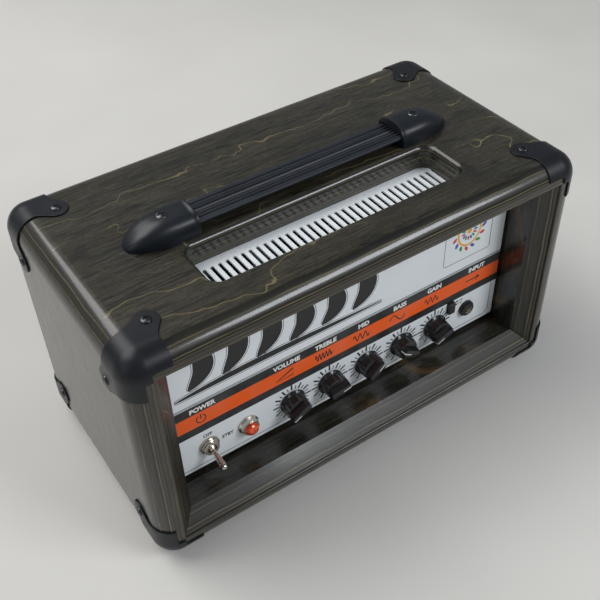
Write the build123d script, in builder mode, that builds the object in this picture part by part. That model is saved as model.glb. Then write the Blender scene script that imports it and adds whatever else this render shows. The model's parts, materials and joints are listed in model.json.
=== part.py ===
"""Amplifier head in a wooden shell, built as separate parts.

Millimetres. Origin at the bottom centre of the bounding box,
+X to the right as seen from the front, +Y to the back, +Z up.
"""
import os
from math import cos, radians, sin

from build123d import *

os.makedirs("parts", exist_ok=True)

# ---------------------------------------------------------------- shell
shell_w = 364.0
shell_d = 196.0
shell_h = 197.0
foot_h = 5.0
foot_x = 126.0
foot_y = 50.0
ply = 18.0
liner_t = 12.0
edge_r = 16.0
inner_r = 1.2
liner_setback = 1.5
liner_back = 84.0
half_w = shell_w / 2
half_d = shell_d / 2
shell_bottom = foot_h
shell_top = foot_h + shell_h
inner_x = half_w - ply
cavity_x = inner_x - liner_t
inner_bottom = shell_bottom + ply
inner_top = shell_top - ply
floor_z = inner_bottom + liner_t

# vent through the top panel
vent_w = 203.0
vent_y0 = -60.5
vent_y1 = -20.0
vent_r = 8.0
vent_edge_r = 5.0

# ---------------------------------------------------------------- corner protectors
guard_t = 1.3
guard_leg = 31.0
guard_lip = 11.5
guard_cover = 17.0
guard_lip_r = 9.0
guard_rim = 0.4
ear_inset = 30.4
ear_r = 8.8
ear_base = 13.5
ear_fillet = 12.0
screw_head_r = 3.6
screw_head_h = 1.6
screw_shank_r = 1.6
screw_len = 14.0
pilot_gap = 0.05

# ---------------------------------------------------------------- handle
cap_in = 84.0
cap_out = 133.6
cap_w = 31.0
cap_h = 16.0
cap_tip_h = 6.5
cap_straight = 97.0
cap_side_h = 5.5
cap_shoulder = (12.6, 12.4)
cap_screw_x = 104.0
cap_screw_r = 2.0
cap_head_r = 4.1
cap_head_sink = 1.6
strap_w = 25.0
strap_t = 4.2
strap_gap = 5.6
strap_rib = 0.5
strap_ribs = 6
strap_hinge_x = 82.0
strap_split = 1.0
strap_end_gap = 0.4
strap_tail_x = 110.0
strap_play = 0.35
strap_bottom = shell_top + strap_gap
strap_top = strap_bottom + strap_t

# ---------------------------------------------------------------- chassis
face_front = -63.0
face_t = 2.0
face_w = 300.0
chassis_gap = 4.6
sheet = 1.5
cover_t = 1.2
chassis_w = 301.0
chassis_bottom = floor_z + chassis_gap
chassis_top = inner_top - 0.3
chassis_back = 83.0
face_back = face_front + face_t
tray_front = face_back + sheet
tray_half = chassis_w / 2 - cover_t - 0.3
tray_top = chassis_top - cover_t - 0.3
ctrl_z = shell_bottom + 55.0

# slots of the cover
slot_count = 34
slot_pitch = 5.9
slot_w = 2.7
slot_x0 = -92.3
slot_y0 = -57.5
slot_y1 = -27.0
cover_screw_y = (-45.0, 10.0, 65.0)

# ---------------------------------------------------------------- controls
toggle_x = -122.0
lamp_x = -89.5
knob_x = (-51.0, -17.0, 17.4, 51.6, 85.6)
knob_names = ("volume", "treble", "mid", "bass", "gain")
# clockwise angle of each pointer from twelve o'clock, seen from the front
knob_angle = (240.0, 80.0, 46.0, 302.0, 248.0)
push_x = 101.5
push_z = ctrl_z + 11.5
jack_x = 118.6
jack_z = ctrl_z + 2.0

toggle_tilt = 13.0
toggle_reach = 20.0
toggle_bush_r = 5.9
toggle_pivot_y = face_front - 3.0

knob_skirt_r = 11.2
knob_skirt_t = 2.0
knob_gap = 0.8
knob_len = 15.0
knob_bar_w = 7.6
shaft_r = 3.0
bush_r = 4.6
bush_gap = 0.05
pot_r = 10.0
pot_depth = 9.0

push_w = 6.4
push_h = 11.0
push_out = 3.2
push_clear = 0.35

jack_ring_r = 7.0
jack_bore_r = 3.25
jack_depth = 26.0

# ---------------------------------------------------------------- inside and rear
board_t = 1.6
fan_size = 60.0
fan_depth = 15.0
fan_x = -95.0
fan_z = chassis_bottom + 75.0
fan_hub_r = 12.0
fan_blade_r = 26.5
fan_blades = 7
valve_x = 78.0
valve_y = -2.0
inlet_x = -20.0
speaker_x = (40.0, 76.0)
rear_jack_x = (104.0, 122.0, 140.0)
rear_z = chassis_bottom + 40.0


def at_y(y):
    """Sketch plane facing the viewer at depth y."""
    return Plane.XZ.offset(-y)


def at_x(x):
    """Sketch plane facing right at x."""
    return Plane.YZ.offset(x)


def turning(x, z, y=face_front):
    """Plane for a turned profile: first axis forwards from the faceplate, second axis radius."""
    return Plane(origin=(x, y, z), x_dir=(0, -1, 0), z_dir=(-1, 0, 0))


def turning_axis(x, z):
    """Axis of a turned part that stands out of the faceplate."""
    return Axis((x, face_front, z), (0, -1, 0))


def standing(x, y, z, rx=0.0, ry=0.0):
    """Place for a part that is modelled along +Z, turned about X or Y."""
    return Locations(Location((x, y, z), (rx, ry, 0)))


def save(part, label):
    """Label a finished part and write its file."""
    part.label = label
    export_step(part, f"parts/{label}.step")


# ================================================================ shell panels
with BuildPart() as shell_block:
    with Locations((0, 0, shell_bottom + shell_h / 2)):
        Box(shell_w, shell_d, shell_h)
    fillet(shell_block.edges(), radius=edge_r)

top_corners = [(-half_w, shell_top), (half_w, shell_top)]
bottom_corners = [(half_w, shell_bottom), (-half_w, shell_bottom)]

with BuildPart() as panel_top:
    add(shell_block.part)
    with BuildSketch(at_y(half_d)):
        Polygon(*top_corners, (inner_x, inner_top), (-inner_x, inner_top), align=None)
    extrude(amount=shell_d, mode=Mode.INTERSECT)
    inner = panel_top.edges().filter_by(Axis.X)
    fillet(inner.filter_by_position(Axis.Z, inner_top - 0.1, inner_top + 0.1), radius=inner_r)
    with BuildSketch(Plane.XY.offset(inner_top)):
        with Locations((0, (vent_y0 + vent_y1) / 2)):
            RectangleRounded(vent_w, vent_y1 - vent_y0, vent_r)
    extrude(amount=ply, mode=Mode.SUBTRACT)
    rim = panel_top.faces().filter_by(Axis.Z).sort_by(Axis.Z)[-1].inner_wires()
    fillet(rim[0].edges(), radius=vent_edge_r)
    for x in (-1, 1):
        for y in (-1, 1):
            with Locations((x * (half_w - ear_inset), y * (half_d - ear_inset), shell_top)):
                Cylinder(screw_shank_r + pilot_gap, 2 * screw_len, mode=Mode.SUBTRACT)
        with Locations((x * cap_screw_x, 0, shell_top)):
            Cylinder(cap_screw_r + pilot_gap, 2 * screw_len, mode=Mode.SUBTRACT)
save(panel_top.part, "panel_top")

bolt_xy = [(x * 138.0, y) for x in (-1, 1) for y in (-22.0, 34.0)]
bolt_r = 2.5
bolt_head_r = 5.0
bolt_recess = 8.0

with BuildPart() as panel_bottom:
    add(shell_block.part)
    with BuildSketch(at_y(half_d)):
        Polygon(*bottom_corners, (-inner_x, inner_bottom), (inner_x, inner_bottom), align=None)
    extrude(amount=shell_d, mode=Mode.INTERSECT)
    inner = panel_bottom.edges().filter_by(Axis.X)
    fillet(inner.filter_by_position(Axis.Z, inner_bottom - 0.1, inner_bottom + 0.1), radius=inner_r)
    for x in (-1, 1):
        for y in (-1, 1):
            with Locations((x * (half_w - ear_inset), y * (half_d - ear_inset), shell_bottom)):
                Cylinder(screw_shank_r + pilot_gap, 2 * screw_len, mode=Mode.SUBTRACT)
    for x, y in bolt_xy:
        with Locations((x, y, inner_bottom - ply / 2)):
            Cylinder(bolt_r + pilot_gap, ply + 2, mode=Mode.SUBTRACT)
        with Locations((x, y, shell_bottom + bolt_recess / 2)):
            Cylinder(bolt_head_r + 0.5, bolt_recess, mode=Mode.SUBTRACT)
save(panel_bottom.part, "panel_bottom")

for name, s in (("panel_left", -1), ("panel_right", 1)):
    with BuildPart() as side_panel:
        add(shell_block.part)
        with BuildSketch(at_y(half_d)):
            Polygon(
                (s * half_w, shell_bottom), (s * half_w, shell_top),
                (s * inner_x, inner_top), (s * inner_x, inner_bottom), align=None)
        extrude(amount=shell_d, mode=Mode.INTERSECT)
        inner = side_panel.edges().filter_by(Axis.Z)
        fillet(inner.filter_by_position(Axis.X, s * inner_x - 0.1, s * inner_x + 0.1), radius=inner_r)
        for y in (-1, 1):
            for z in (shell_bottom + ear_inset, shell_top - ear_inset):
                with standing(s * half_w, y * (half_d - ear_inset), z, ry=90):
                    Cylinder(screw_shank_r + pilot_gap, 2 * screw_len, mode=Mode.SUBTRACT)
    save(side_panel.part, name)

# ================================================================ lining boards
liner_front = -half_d + liner_setback
with BuildPart() as liner_block:
    with BuildSketch(at_y(liner_back)):
        with Locations((0, (inner_bottom + inner_top) / 2)):
            Rectangle(2 * inner_x, inner_top - inner_bottom)
    extrude(amount=liner_back - liner_front)
    with BuildSketch(at_y(liner_back + 1)):
        with Locations((0, (floor_z + inner_top) / 2)):
            Rectangle(2 * cavity_x, inner_top - floor_z)
    extrude(amount=liner_back - liner_front + 2, mode=Mode.SUBTRACT)
    mouth = liner_block.faces().sort_by(Axis.Y)[0].edges()
    mouth = [
        e for e in mouth
        if abs(e.center().X) < inner_x - 1 and inner_bottom + 1 < e.center().Z < inner_top - 1]
    chamfer(mouth, length=liner_t - 0.4)

with BuildPart() as liner_bottom:
    add(liner_block.part)
    with BuildSketch(at_y(half_d)):
        Polygon(
            (-inner_x, inner_bottom), (inner_x, inner_bottom),
            (cavity_x, floor_z), (-cavity_x, floor_z), align=None)
    extrude(amount=shell_d, mode=Mode.INTERSECT)
    for x, y in bolt_xy:
        with Locations((x, y, inner_bottom + liner_t / 2)):
            Cylinder(bolt_r + pilot_gap, liner_t + 2, mode=Mode.SUBTRACT)
save(liner_bottom.part, "liner_bottom")

for name, s in (("liner_left", -1), ("liner_right", 1)):
    with BuildPart() as side_liner:
        add(liner_block.part)
        with BuildSketch(at_y(half_d)):
            Polygon(
                (s * inner_x, inner_bottom), (s * inner_x, inner_top),
                (s * cavity_x, inner_top), (s * cavity_x, floor_z), align=None)
        extrude(amount=shell_d, mode=Mode.INTERSECT)
    save(side_liner.part, name)

# ================================================================ corner protectors
ear_x = half_w - ear_inset
ear_y = half_d - ear_inset
ear_z = shell_top - ear_inset

with BuildPart() as guard_skin:
    with Locations((0, 0, shell_bottom + shell_h / 2)):
        Box(shell_w + 2 * guard_t, shell_d + 2 * guard_t, shell_h + 2 * guard_t)
    fillet(guard_skin.edges(), radius=edge_r + guard_t)
    add(shell_block.part, mode=Mode.SUBTRACT)


def ear_outline(cu, cv, su, sv):
    """Flat outline of one protector face: two legs and a tongue.

    cu, cv is the outer corner and su, sv the direction outwards from the middle.
    """
    tip = (cu - su * ear_inset, cv - sv * ear_inset)
    near = (cu - su * 10, cv - sv * 10)
    d = 0.7071
    with Locations((cu - su * guard_leg / 2 + su, cv - sv * guard_cover / 2 + sv)):
        Rectangle(guard_leg + 2, guard_cover + 2)
    with Locations((cu - su * guard_cover / 2 + su, cv - sv * guard_leg / 2 + sv)):
        Rectangle(guard_cover + 2, guard_leg + 2)
    Polygon(
        (tip[0] - su * d * ear_r, tip[1] + sv * d * ear_r),
        (near[0] - su * d * ear_base, near[1] + sv * d * ear_base),
        (near[0] + su * d * ear_base, near[1] - sv * d * ear_base),
        (tip[0] + su * d * ear_r, tip[1] - sv * d * ear_r), align=None)
    with Locations(tip):
        Circle(ear_r)


def notch_points(sketch, cu, cv, su, sv):
    """Hollow corners of the outline where the tongue leaves the legs."""
    found = []
    for v in sketch.vertices():
        du = (cu - v.X) * su
        dv = (cv - v.Y) * sv
        if abs(max(du, dv) - guard_leg) < 0.3 and abs(min(du, dv) - guard_cover) < 1.5:
            found.append(v)
    return found


with BuildPart() as guard_mask:
    # front lip and the two edges that it folds over
    with BuildSketch(at_y(-half_d + guard_cover)) as lip:
        with Locations((half_w - guard_leg / 2 + 1, shell_top - guard_lip / 2 + 1)):
            Rectangle(guard_leg + 2, guard_lip + 2)
        with Locations((half_w - guard_lip / 2 + 1, shell_top - guard_leg / 2 + 1)):
            Rectangle(guard_lip + 2, guard_leg + 2)
        hollow = [v for v in lip.vertices() if abs(v.X - half_w + guard_lip) < 0.1
                  and abs(abs(v.Y) - shell_top + guard_lip) < 0.1]
        fillet(hollow, radius=guard_lip_r)
    extrude(amount=guard_cover + 3)
    # edge that runs to the back
    with BuildSketch(at_y(-half_d + guard_leg)):
        with Locations((half_w - guard_cover / 2 + 1, shell_top - guard_cover / 2 + 1)):
            Rectangle(guard_cover + 2, guard_cover + 2)
    extrude(amount=guard_leg + 3)
    # ear on the top face
    with BuildSketch(Plane.XY.offset(shell_top - 0.5)) as top_ear:
        ear_outline(half_w, -half_d, 1, -1)
        fillet(notch_points(top_ear, half_w, -half_d, 1, -1), radius=ear_fillet)
    extrude(amount=guard_t + 2)
    # ear on the side face
    with BuildSketch(at_x(half_w - 0.5)) as side_ear:
        ear_outline(-half_d, shell_top, -1, 1)
        fillet(notch_points(side_ear, -half_d, shell_top, -1, 1), radius=ear_fillet)
    extrude(amount=guard_t + 2)

with BuildPart() as guard_base:
    add(guard_skin.part)
    add(guard_mask.part, mode=Mode.INTERSECT)
    fillet([e for e in guard_base.edges() if e.length > 2 * guard_t], radius=guard_rim)
    with Locations((ear_x, -ear_y, shell_top)):
        Cylinder(screw_shank_r + pilot_gap, 8, mode=Mode.SUBTRACT)
    with Locations((half_w, -ear_y, ear_z)):
        Cylinder(screw_shank_r + pilot_gap, 8, rotation=(0, 90, 0), mode=Mode.SUBTRACT)

mid_plane = Plane.XY.offset(shell_bottom + shell_h / 2)
for name, flips in (
    ("guard_top_front_right", ()),
    ("guard_top_front_left", (Plane.YZ,)),
    ("guard_top_back_right", (Plane.XZ,)),
    ("guard_top_back_left", (Plane.YZ, Plane.XZ)),
    ("guard_bottom_front_right", (mid_plane,)),
    ("guard_bottom_front_left", (Plane.YZ, mid_plane)),
    ("guard_bottom_back_right", (Plane.XZ, mid_plane)),
    ("guard_bottom_back_left", (Plane.YZ, Plane.XZ, mid_plane)),
):
    shape = guard_base.part
    for plane in flips:
        shape = mirror(shape, about=plane)
    with BuildPart() as guard:
        add(shape)
    save(guard.part, name)


def screw(head_r, head_h, shank_r, length, cross, cross_w):
    """Cross-head screw along +Z, underside of its head at z = 0."""
    with BuildPart(mode=Mode.PRIVATE) as one:
        Cylinder(head_r, head_h, align=(Align.CENTER, Align.CENTER, Align.MIN))
        fillet(one.edges().sort_by(Axis.Z)[-1], radius=head_h * 0.75)
        Cylinder(shank_r, length, align=(Align.CENTER, Align.CENTER, Align.MAX))
        with Locations((0, 0, head_h)):
            Box(cross, cross_w, head_h * 1.2, mode=Mode.SUBTRACT)
            Box(cross_w, cross, head_h * 1.2, mode=Mode.SUBTRACT)
    return one.part


guard_screw = screw(screw_head_r, screw_head_h, screw_shank_r, screw_len, 4.2, 0.9)
with BuildPart() as corner_screws:
    for x in (-1, 1):
        for y in (-1, 1):
            with standing(x * ear_x, y * ear_y, shell_top + guard_t):
                add(guard_screw)
            with standing(x * ear_x, y * ear_y, shell_bottom - guard_t, rx=180):
                add(guard_screw)
            for z in (ear_z, shell_bottom + ear_inset):
                with standing(x * (half_w + guard_t), y * ear_y, z, ry=x * 90):
                    add(guard_screw)
save(corner_screws.part, "corner_screws")

# ================================================================ handle
slot_z0 = strap_bottom - strap_play
slot_z1 = strap_top + strap_play
with BuildPart() as cap_base:
    with BuildSketch(Plane.XY.offset(shell_top)):
        with BuildLine():
            Line((cap_in, -cap_w / 2), (cap_straight, -cap_w / 2))
            EllipticalCenterArc(
                (cap_straight, 0), cap_out - cap_straight, cap_w / 2, start_angle=-90, arc_size=180)
            Line((cap_straight, cap_w / 2), (cap_in, cap_w / 2))
            Line((cap_in, cap_w / 2), (cap_in, -cap_w / 2))
        make_face()
    extrude(amount=cap_h + 4)
    with BuildSketch(at_y(cap_w)):
        with BuildLine():
            Line((cap_in - 1, shell_top), (cap_in - 1, shell_top + cap_h - 1.2))
            Spline(
                (cap_in - 1, shell_top + cap_h - 1.2), (cap_screw_x, shell_top + cap_h),
                (cap_out + 1, shell_top + cap_tip_h),
                tangents=((1, 0.06), (1, -1.0)))
            Line((cap_out + 1, shell_top + cap_tip_h), (cap_out + 1, shell_top))
            Line((cap_out + 1, shell_top), (cap_in - 1, shell_top))
        make_face()
    extrude(amount=2 * cap_w, mode=Mode.INTERSECT)
    # crowned from side to side
    with BuildSketch(at_x(cap_in - 1)):
        with BuildLine():
            side_y = cap_w / 2 + 0.2
            side_z = shell_top + cap_side_h
            shoulder_z = shell_top + cap_shoulder[1]
            Line((-side_y, shell_top), (-side_y, side_z))
            Spline(
                (-side_y, side_z), (-cap_shoulder[0], shoulder_z), (0, shell_top + cap_h),
                (cap_shoulder[0], shoulder_z), (side_y, side_z), tangents=((0, 1), (0, -1)))
            Line((side_y, side_z), (side_y, shell_top))
            Line((side_y, shell_top), (-side_y, shell_top))
        make_face()
    extrude(amount=cap_out - cap_in + 2, mode=Mode.INTERSECT)
    # pocket for the end of the strap
    pocket_end = strap_tail_x + 2.0
    with Locations(((cap_in + pocket_end) / 2 - 1, 0, (slot_z0 + slot_z1) / 2)):
        Box(pocket_end - cap_in + 2, strap_w + 2 * strap_play, slot_z1 - slot_z0, mode=Mode.SUBTRACT)
    with Locations((cap_screw_x, 0, shell_top)):
        Cylinder(cap_screw_r + pilot_gap, 60, mode=Mode.SUBTRACT)
    with Locations((cap_screw_x, 0, shell_top + cap_h - cap_head_sink)):
        Cylinder(
            cap_head_r + 0.5, 10, align=(Align.CENTER, Align.CENTER, Align.MIN), mode=Mode.SUBTRACT)
save(cap_base.part, "handle_cap_right")

with BuildPart() as handle_cap_left:
    mirror(cap_base.part, about=Plane.YZ)
save(handle_cap_left.part, "handle_cap_left")

cap_screw = screw(cap_head_r, 2.0, cap_screw_r, cap_h - cap_head_sink + 13, 5.0, 1.1)
with BuildPart() as handle_screws:
    for s in (-1, 1):
        with standing(s * cap_screw_x, 0, shell_top + cap_h - cap_head_sink):
            add(cap_screw)
save(handle_screws.part, "handle_screws")


# cross section of the strap: crowned, with lengthwise ribs
groove = (strap_w - 8.0) / strap_ribs
strap_pts = [(-strap_w / 2, strap_bottom), (strap_w / 2, strap_bottom)]
strap_pts += [(strap_w / 2, strap_top - 1.2), (strap_w / 2 - 3.6, strap_top)]
for k in range(strap_ribs):
    u = strap_w / 2 - 4.0 - k * groove
    strap_pts += [(u, strap_top - strap_rib), (u - groove * 0.3, strap_top - strap_rib)]
    strap_pts += [(u - groove * 0.42, strap_top), (u - groove * 0.88, strap_top)]
strap_pts += [(-strap_w / 2 + 3.6, strap_top), (-strap_w / 2, strap_top - 1.2)]

for name, x0, x1 in (
    ("strap_anchor", -strap_tail_x, -strap_hinge_x - strap_end_gap / 2),
    ("strap_left", -strap_hinge_x + strap_end_gap / 2, -strap_split / 2),
    ("strap_right", strap_split / 2, strap_hinge_x - strap_end_gap / 2),
    ("strap_tail", strap_hinge_x + strap_end_gap / 2, strap_tail_x - 1.5),
):
    with BuildPart() as strap:
        with BuildSketch(at_x(x0)):
            Polygon(*strap_pts, align=None)
        extrude(amount=x1 - x0)
        if name in ("strap_anchor", "strap_tail"):
            side = -1 if name == "strap_anchor" else 1
            with BuildSketch(Plane.XY.offset(strap_bottom - 1)):
                with Locations((side * cap_screw_x - (1.2 if side > 0 else 0), 0)):
                    SlotOverall(11.0 if side > 0 else 6.0, 5.0)
            extrude(amount=strap_t + 2, mode=Mode.SUBTRACT)
    save(strap.part, name)

# ================================================================ feet and bolts
with BuildPart() as feet:
    for x in (-1, 1):
        for y in (-1, 1):
            with Locations((x * foot_x, y * foot_y, 0)):
                Cone(10.5, 12.0, foot_h, align=(Align.CENTER, Align.CENTER, Align.MIN))
    fillet(feet.edges().filter_by_position(Axis.Z, -0.1, 0.1), radius=1.2)
save(feet.part, "feet")

bolt_len = ply - bolt_recess + liner_t + chassis_gap + sheet + 4.0
with BuildPart() as chassis_bolts:
    for x, y in bolt_xy:
        with Locations((x, y, shell_bottom + bolt_recess)):
            Cylinder(bolt_head_r, 2.6, align=(Align.CENTER, Align.CENTER, Align.MAX))
            Cylinder(bolt_r, bolt_len, align=(Align.CENTER, Align.CENTER, Align.MIN))
        with Locations((x, y, shell_bottom + bolt_recess - 2.6)):
            Box(6.0, 1.1, 1.6, mode=Mode.SUBTRACT)
            Box(1.1, 6.0, 1.6, mode=Mode.SUBTRACT)
save(chassis_bolts.part, "chassis_bolts")

# ================================================================ chassis
with BuildPart() as chassis_tray:
    tray_len = chassis_back - face_back
    with Locations((0, (face_back + chassis_back) / 2, chassis_bottom)):
        Box(2 * tray_half, tray_len, sheet, align=(Align.CENTER, Align.CENTER, Align.MIN))
    for y in (face_back, chassis_back - sheet):
        with Locations((0, y, chassis_bottom)):
            Box(
                2 * tray_half, sheet, tray_top - chassis_bottom,
                align=(Align.CENTER, Align.MIN, Align.MIN))
    for s in (-1, 1):
        with Locations((s * (tray_half - sheet / 2), (face_back + chassis_back) / 2, chassis_bottom)):
            Box(sheet, tray_len, 15.0, align=(Align.CENTER, Align.CENTER, Align.MIN))
        # pressed standing pads under the tray
        for x, y in bolt_xy:
            if x * s > 0:
                with Locations((x, y, floor_z)):
                    Cylinder(9.0, chassis_gap, align=(Align.CENTER, Align.CENTER, Align.MIN))
    for x, y in bolt_xy:
        with Locations((x, y, chassis_bottom)):
            Cylinder(bolt_r + pilot_gap, 20, mode=Mode.SUBTRACT)
    # holes of the front wall
    for x in knob_x:
        with Locations((x, face_back, ctrl_z)):
            Cylinder(bush_r + bush_gap, 8, rotation=(90, 0, 0), mode=Mode.SUBTRACT)
    with Locations((toggle_x, face_back, ctrl_z)):
        Cylinder(toggle_bush_r + bush_gap, 8, rotation=(90, 0, 0), mode=Mode.SUBTRACT)
    with Locations((lamp_x, face_back, ctrl_z)):
        Cylinder(6.0 + bush_gap, 8, rotation=(90, 0, 0), mode=Mode.SUBTRACT)
    with Locations((jack_x, face_back, jack_z)):
        Cylinder(bush_r + bush_gap, 8, rotation=(90, 0, 0), mode=Mode.SUBTRACT)
    with Locations((push_x, face_back, push_z)):
        Box(push_w + 2 * push_clear, 8, push_h + 2 * push_clear, mode=Mode.SUBTRACT)
    # holes of the rear wall
    with Locations((fan_x, chassis_back, fan_z)):
        for r, n in ((6.5, 6), (13.5, 12), (20.5, 18), (26.5, 22)):
            for k in range(n):
                a = radians(360.0 * k / n)
                with Locations((r * cos(a), 0, r * sin(a))):
                    Cylinder(2.3, 8, rotation=(90, 0, 0), mode=Mode.SUBTRACT)
    with Locations((inlet_x, chassis_back, rear_z)):
        Box(27.4, 8, 20.4, mode=Mode.SUBTRACT)
    for x in speaker_x:
        with Locations((x, chassis_back, rear_z)):
            Cylinder(12.0, 8, rotation=(90, 0, 0), mode=Mode.SUBTRACT)
    for x in rear_jack_x:
        with Locations((x, chassis_back, rear_z)):
            Cylinder(bush_r + bush_gap, 8, rotation=(90, 0, 0), mode=Mode.SUBTRACT)
save(chassis_tray.part, "chassis_tray")

with BuildPart() as chassis_cover:
    cover_y0 = face_back
    cover_len = chassis_back - cover_y0
    with Locations((0, (cover_y0 + chassis_back) / 2, chassis_top)):
        Box(chassis_w, cover_len, cover_t, align=(Align.CENTER, Align.CENTER, Align.MAX))
    for s in (-1, 1):
        with Locations((s * (chassis_w / 2 - cover_t / 2), (cover_y0 + chassis_back) / 2, chassis_bottom)):
            Box(
                cover_t, cover_len, chassis_top - chassis_bottom,
                align=(Align.CENTER, Align.CENTER, Align.MIN))
    with BuildSketch(Plane.XY.offset(chassis_top - 5)):
        for k in range(slot_count):
            with Locations((slot_x0 + k * slot_pitch, (slot_y0 + slot_y1) / 2)):
                SlotOverall(slot_y1 - slot_y0, slot_w, rotation=90)
    extrude(amount=10, mode=Mode.SUBTRACT)
    for s in (-1, 1):
        for y in cover_screw_y:
            with standing(s * chassis_w / 2, y, chassis_bottom + 8, ry=90):
                Cylinder(1.5 + pilot_gap, 6, mode=Mode.SUBTRACT)
save(chassis_cover.part, "chassis_cover")

cover_screw = screw(2.6, 0.9, 1.5, 1.45, 3.0, 0.6)
with BuildPart() as cover_screws:
    for s in (-1, 1):
        for y in cover_screw_y:
            with standing(s * chassis_w / 2, y, chassis_bottom + 8, ry=s * 90):
                add(cover_screw)
save(cover_screws.part, "cover_screws")

with BuildPart() as faceplate:
    with Locations((0, face_front, chassis_bottom)):
        Box(face_w, face_t, chassis_top - chassis_bottom, align=(Align.CENTER, Align.MIN, Align.MIN))
    fillet(faceplate.edges().filter_by(Axis.Y), radius=1.5)
    for x in knob_x:
        with Locations((x, face_front, ctrl_z)):
            Cylinder(bush_r + bush_gap, 8, rotation=(90, 0, 0), mode=Mode.SUBTRACT)
    with Locations((toggle_x, face_front, ctrl_z)):
        Cylinder(toggle_bush_r + bush_gap, 8, rotation=(90, 0, 0), mode=Mode.SUBTRACT)
    with Locations((lamp_x, face_front, ctrl_z)):
        Cylinder(6.0 + bush_gap, 8, rotation=(90, 0, 0), mode=Mode.SUBTRACT)
    with Locations((jack_x, face_front, jack_z)):
        Cylinder(bush_r + bush_gap, 8, rotation=(90, 0, 0), mode=Mode.SUBTRACT)
    with Locations((push_x, face_front, push_z)):
        Box(push_w + 2 * push_clear, 8, push_h + 2 * push_clear, mode=Mode.SUBTRACT)
save(faceplate.part, "faceplate")

# ================================================================ power toggle
with BuildPart() as toggle_body:
    with Locations((toggle_x, tray_front, ctrl_z)):
        Box(14.0, 22.0, 26.0, align=(Align.CENTER, Align.MIN, Align.CENTER))
    with BuildSketch(at_y(tray_front + 0.5)):
        with Locations((toggle_x, ctrl_z)):
            Circle(toggle_bush_r)
    extrude(amount=tray_front + 0.5 - (face_front - 5.0))
    with BuildSketch(at_y(tray_front + 8.0)):
        with Locations((toggle_x, ctrl_z)):
            Circle(3.7)
    extrude(amount=tray_front + 8.0 - (face_front - 6.0), mode=Mode.SUBTRACT)
    for s in (-1, 0, 1):
        with Locations((toggle_x, tray_front + 22.0, ctrl_z + s * 8.0)):
            Box(1.0, 5.0, 4.0, align=(Align.CENTER, Align.MIN, Align.CENTER))
save(toggle_body.part, "toggle_body")

with BuildPart() as toggle_nut:
    with BuildSketch(at_y(face_front)):
        with Locations((toggle_x, ctrl_z)):
            Circle(7.6)
            Circle(toggle_bush_r + 0.02, mode=Mode.SUBTRACT)
    extrude(amount=1.8)
    with BuildSketch(at_y(face_front - 1.8)):
        with Locations((toggle_x, ctrl_z)):
            Circle(6.9)
            Circle(toggle_bush_r + 0.02, mode=Mode.SUBTRACT)
    extrude(amount=1.6)
    chamfer(toggle_nut.edges().filter_by_position(Axis.Y, face_front - 3.5, face_front - 3.3)[0], length=0.3)
save(toggle_nut.part, "toggle_nut")

lean = radians(toggle_tilt)
tilted = Plane(
    origin=(toggle_x, toggle_pivot_y, ctrl_z), x_dir=(0, -cos(lean), -sin(lean)), z_dir=(-1, 0, 0))
with BuildPart() as toggle_lever:
    with BuildSketch(tilted):
        with BuildLine():
            Polyline(
                (-3.0, 0), (-1.2, 2.75), (0.8, 3.35), (2.4, 2.4), (2.9, 1.7), (8.0, 1.95),
                (toggle_reach - 5.0, 2.4), (toggle_reach - 3.2, 2.65))
            Spline(
                (toggle_reach - 3.2, 2.65), (toggle_reach - 1.1, 2.25), (toggle_reach, 0),
                tangents=((1, 0.1), (0, -1)))
            Line((toggle_reach, 0), (-3.0, 0))
        make_face()
    revolve(axis=Axis(tilted.origin, tilted.x_dir))
save(toggle_lever.part, "toggle_lever")

# ================================================================ pilot lamp
lamp_base_r = 8.4
lamp_body_r = 6.0
lamp_out = 5.4
with BuildPart() as lamp_bezel:
    with BuildSketch(turning(lamp_x, ctrl_z)):
        with BuildLine():
            Polyline(
                (0, lamp_body_r - 0.05), (0, lamp_base_r), (1.0, lamp_base_r), (1.6, 7.7), (2.2, 7.0),
                (lamp_out - 0.6, 6.9), (lamp_out, 6.5), (lamp_out, 5.7), (1.2, 5.7), (1.2, 4.6),
                (-face_t - 10.0, 4.6), (-face_t - 10.0, lamp_body_r - 0.05), close=True)
        make_face()
    revolve(axis=turning_axis(lamp_x, ctrl_z))
save(lamp_bezel.part, "lamp_bezel")

jewel_out = 9.2
with BuildPart() as lamp_jewel:
    with BuildSketch(turning(lamp_x, ctrl_z)):
        with BuildLine():
            Polyline(
                (1.3, 0), (1.3, 5.6), (lamp_out, 5.6), (7.4, 5.3), (8.6, 4.0), (jewel_out, 2.4),
                (jewel_out, 0), close=True)
        make_face()
    revolve(axis=turning_axis(lamp_x, ctrl_z))
save(lamp_jewel.part, "lamp_jewel")

# ================================================================ potentiometers and knobs
with BuildPart() as pot_bodies:
    for x in knob_x:
        with BuildSketch(turning(x, ctrl_z)):
            with BuildLine():
                Polyline(
                    (-face_t - sheet, shaft_r + bush_gap), (3.4, shaft_r + bush_gap), (3.4, bush_r),
                    (-face_t - sheet, bush_r), (-face_t - sheet, pot_r),
                    (-face_t - sheet - pot_depth, pot_r), (-face_t - sheet - pot_depth, 4.0),
                    (-face_t - sheet - 2.0, 4.0), (-face_t - sheet - 2.0, shaft_r + bush_gap),
                    close=True)
            make_face()
        revolve(axis=turning_axis(x, ctrl_z))
        with Locations((x, tray_front + pot_depth / 2, ctrl_z - pot_r - 2.0)):
            Box(13.0, 1.4, 9.0)
save(pot_bodies.part, "pot_bodies")

with BuildPart() as pot_nuts:
    for x in knob_x:
        with BuildSketch(at_y(face_front)):
            with Locations((x, ctrl_z)):
                RegularPolygon(5.6, 6, major_radius=False)
                Circle(bush_r + 0.02, mode=Mode.SUBTRACT)
        extrude(amount=2.0)
save(pot_nuts.part, "pot_nuts")

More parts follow.
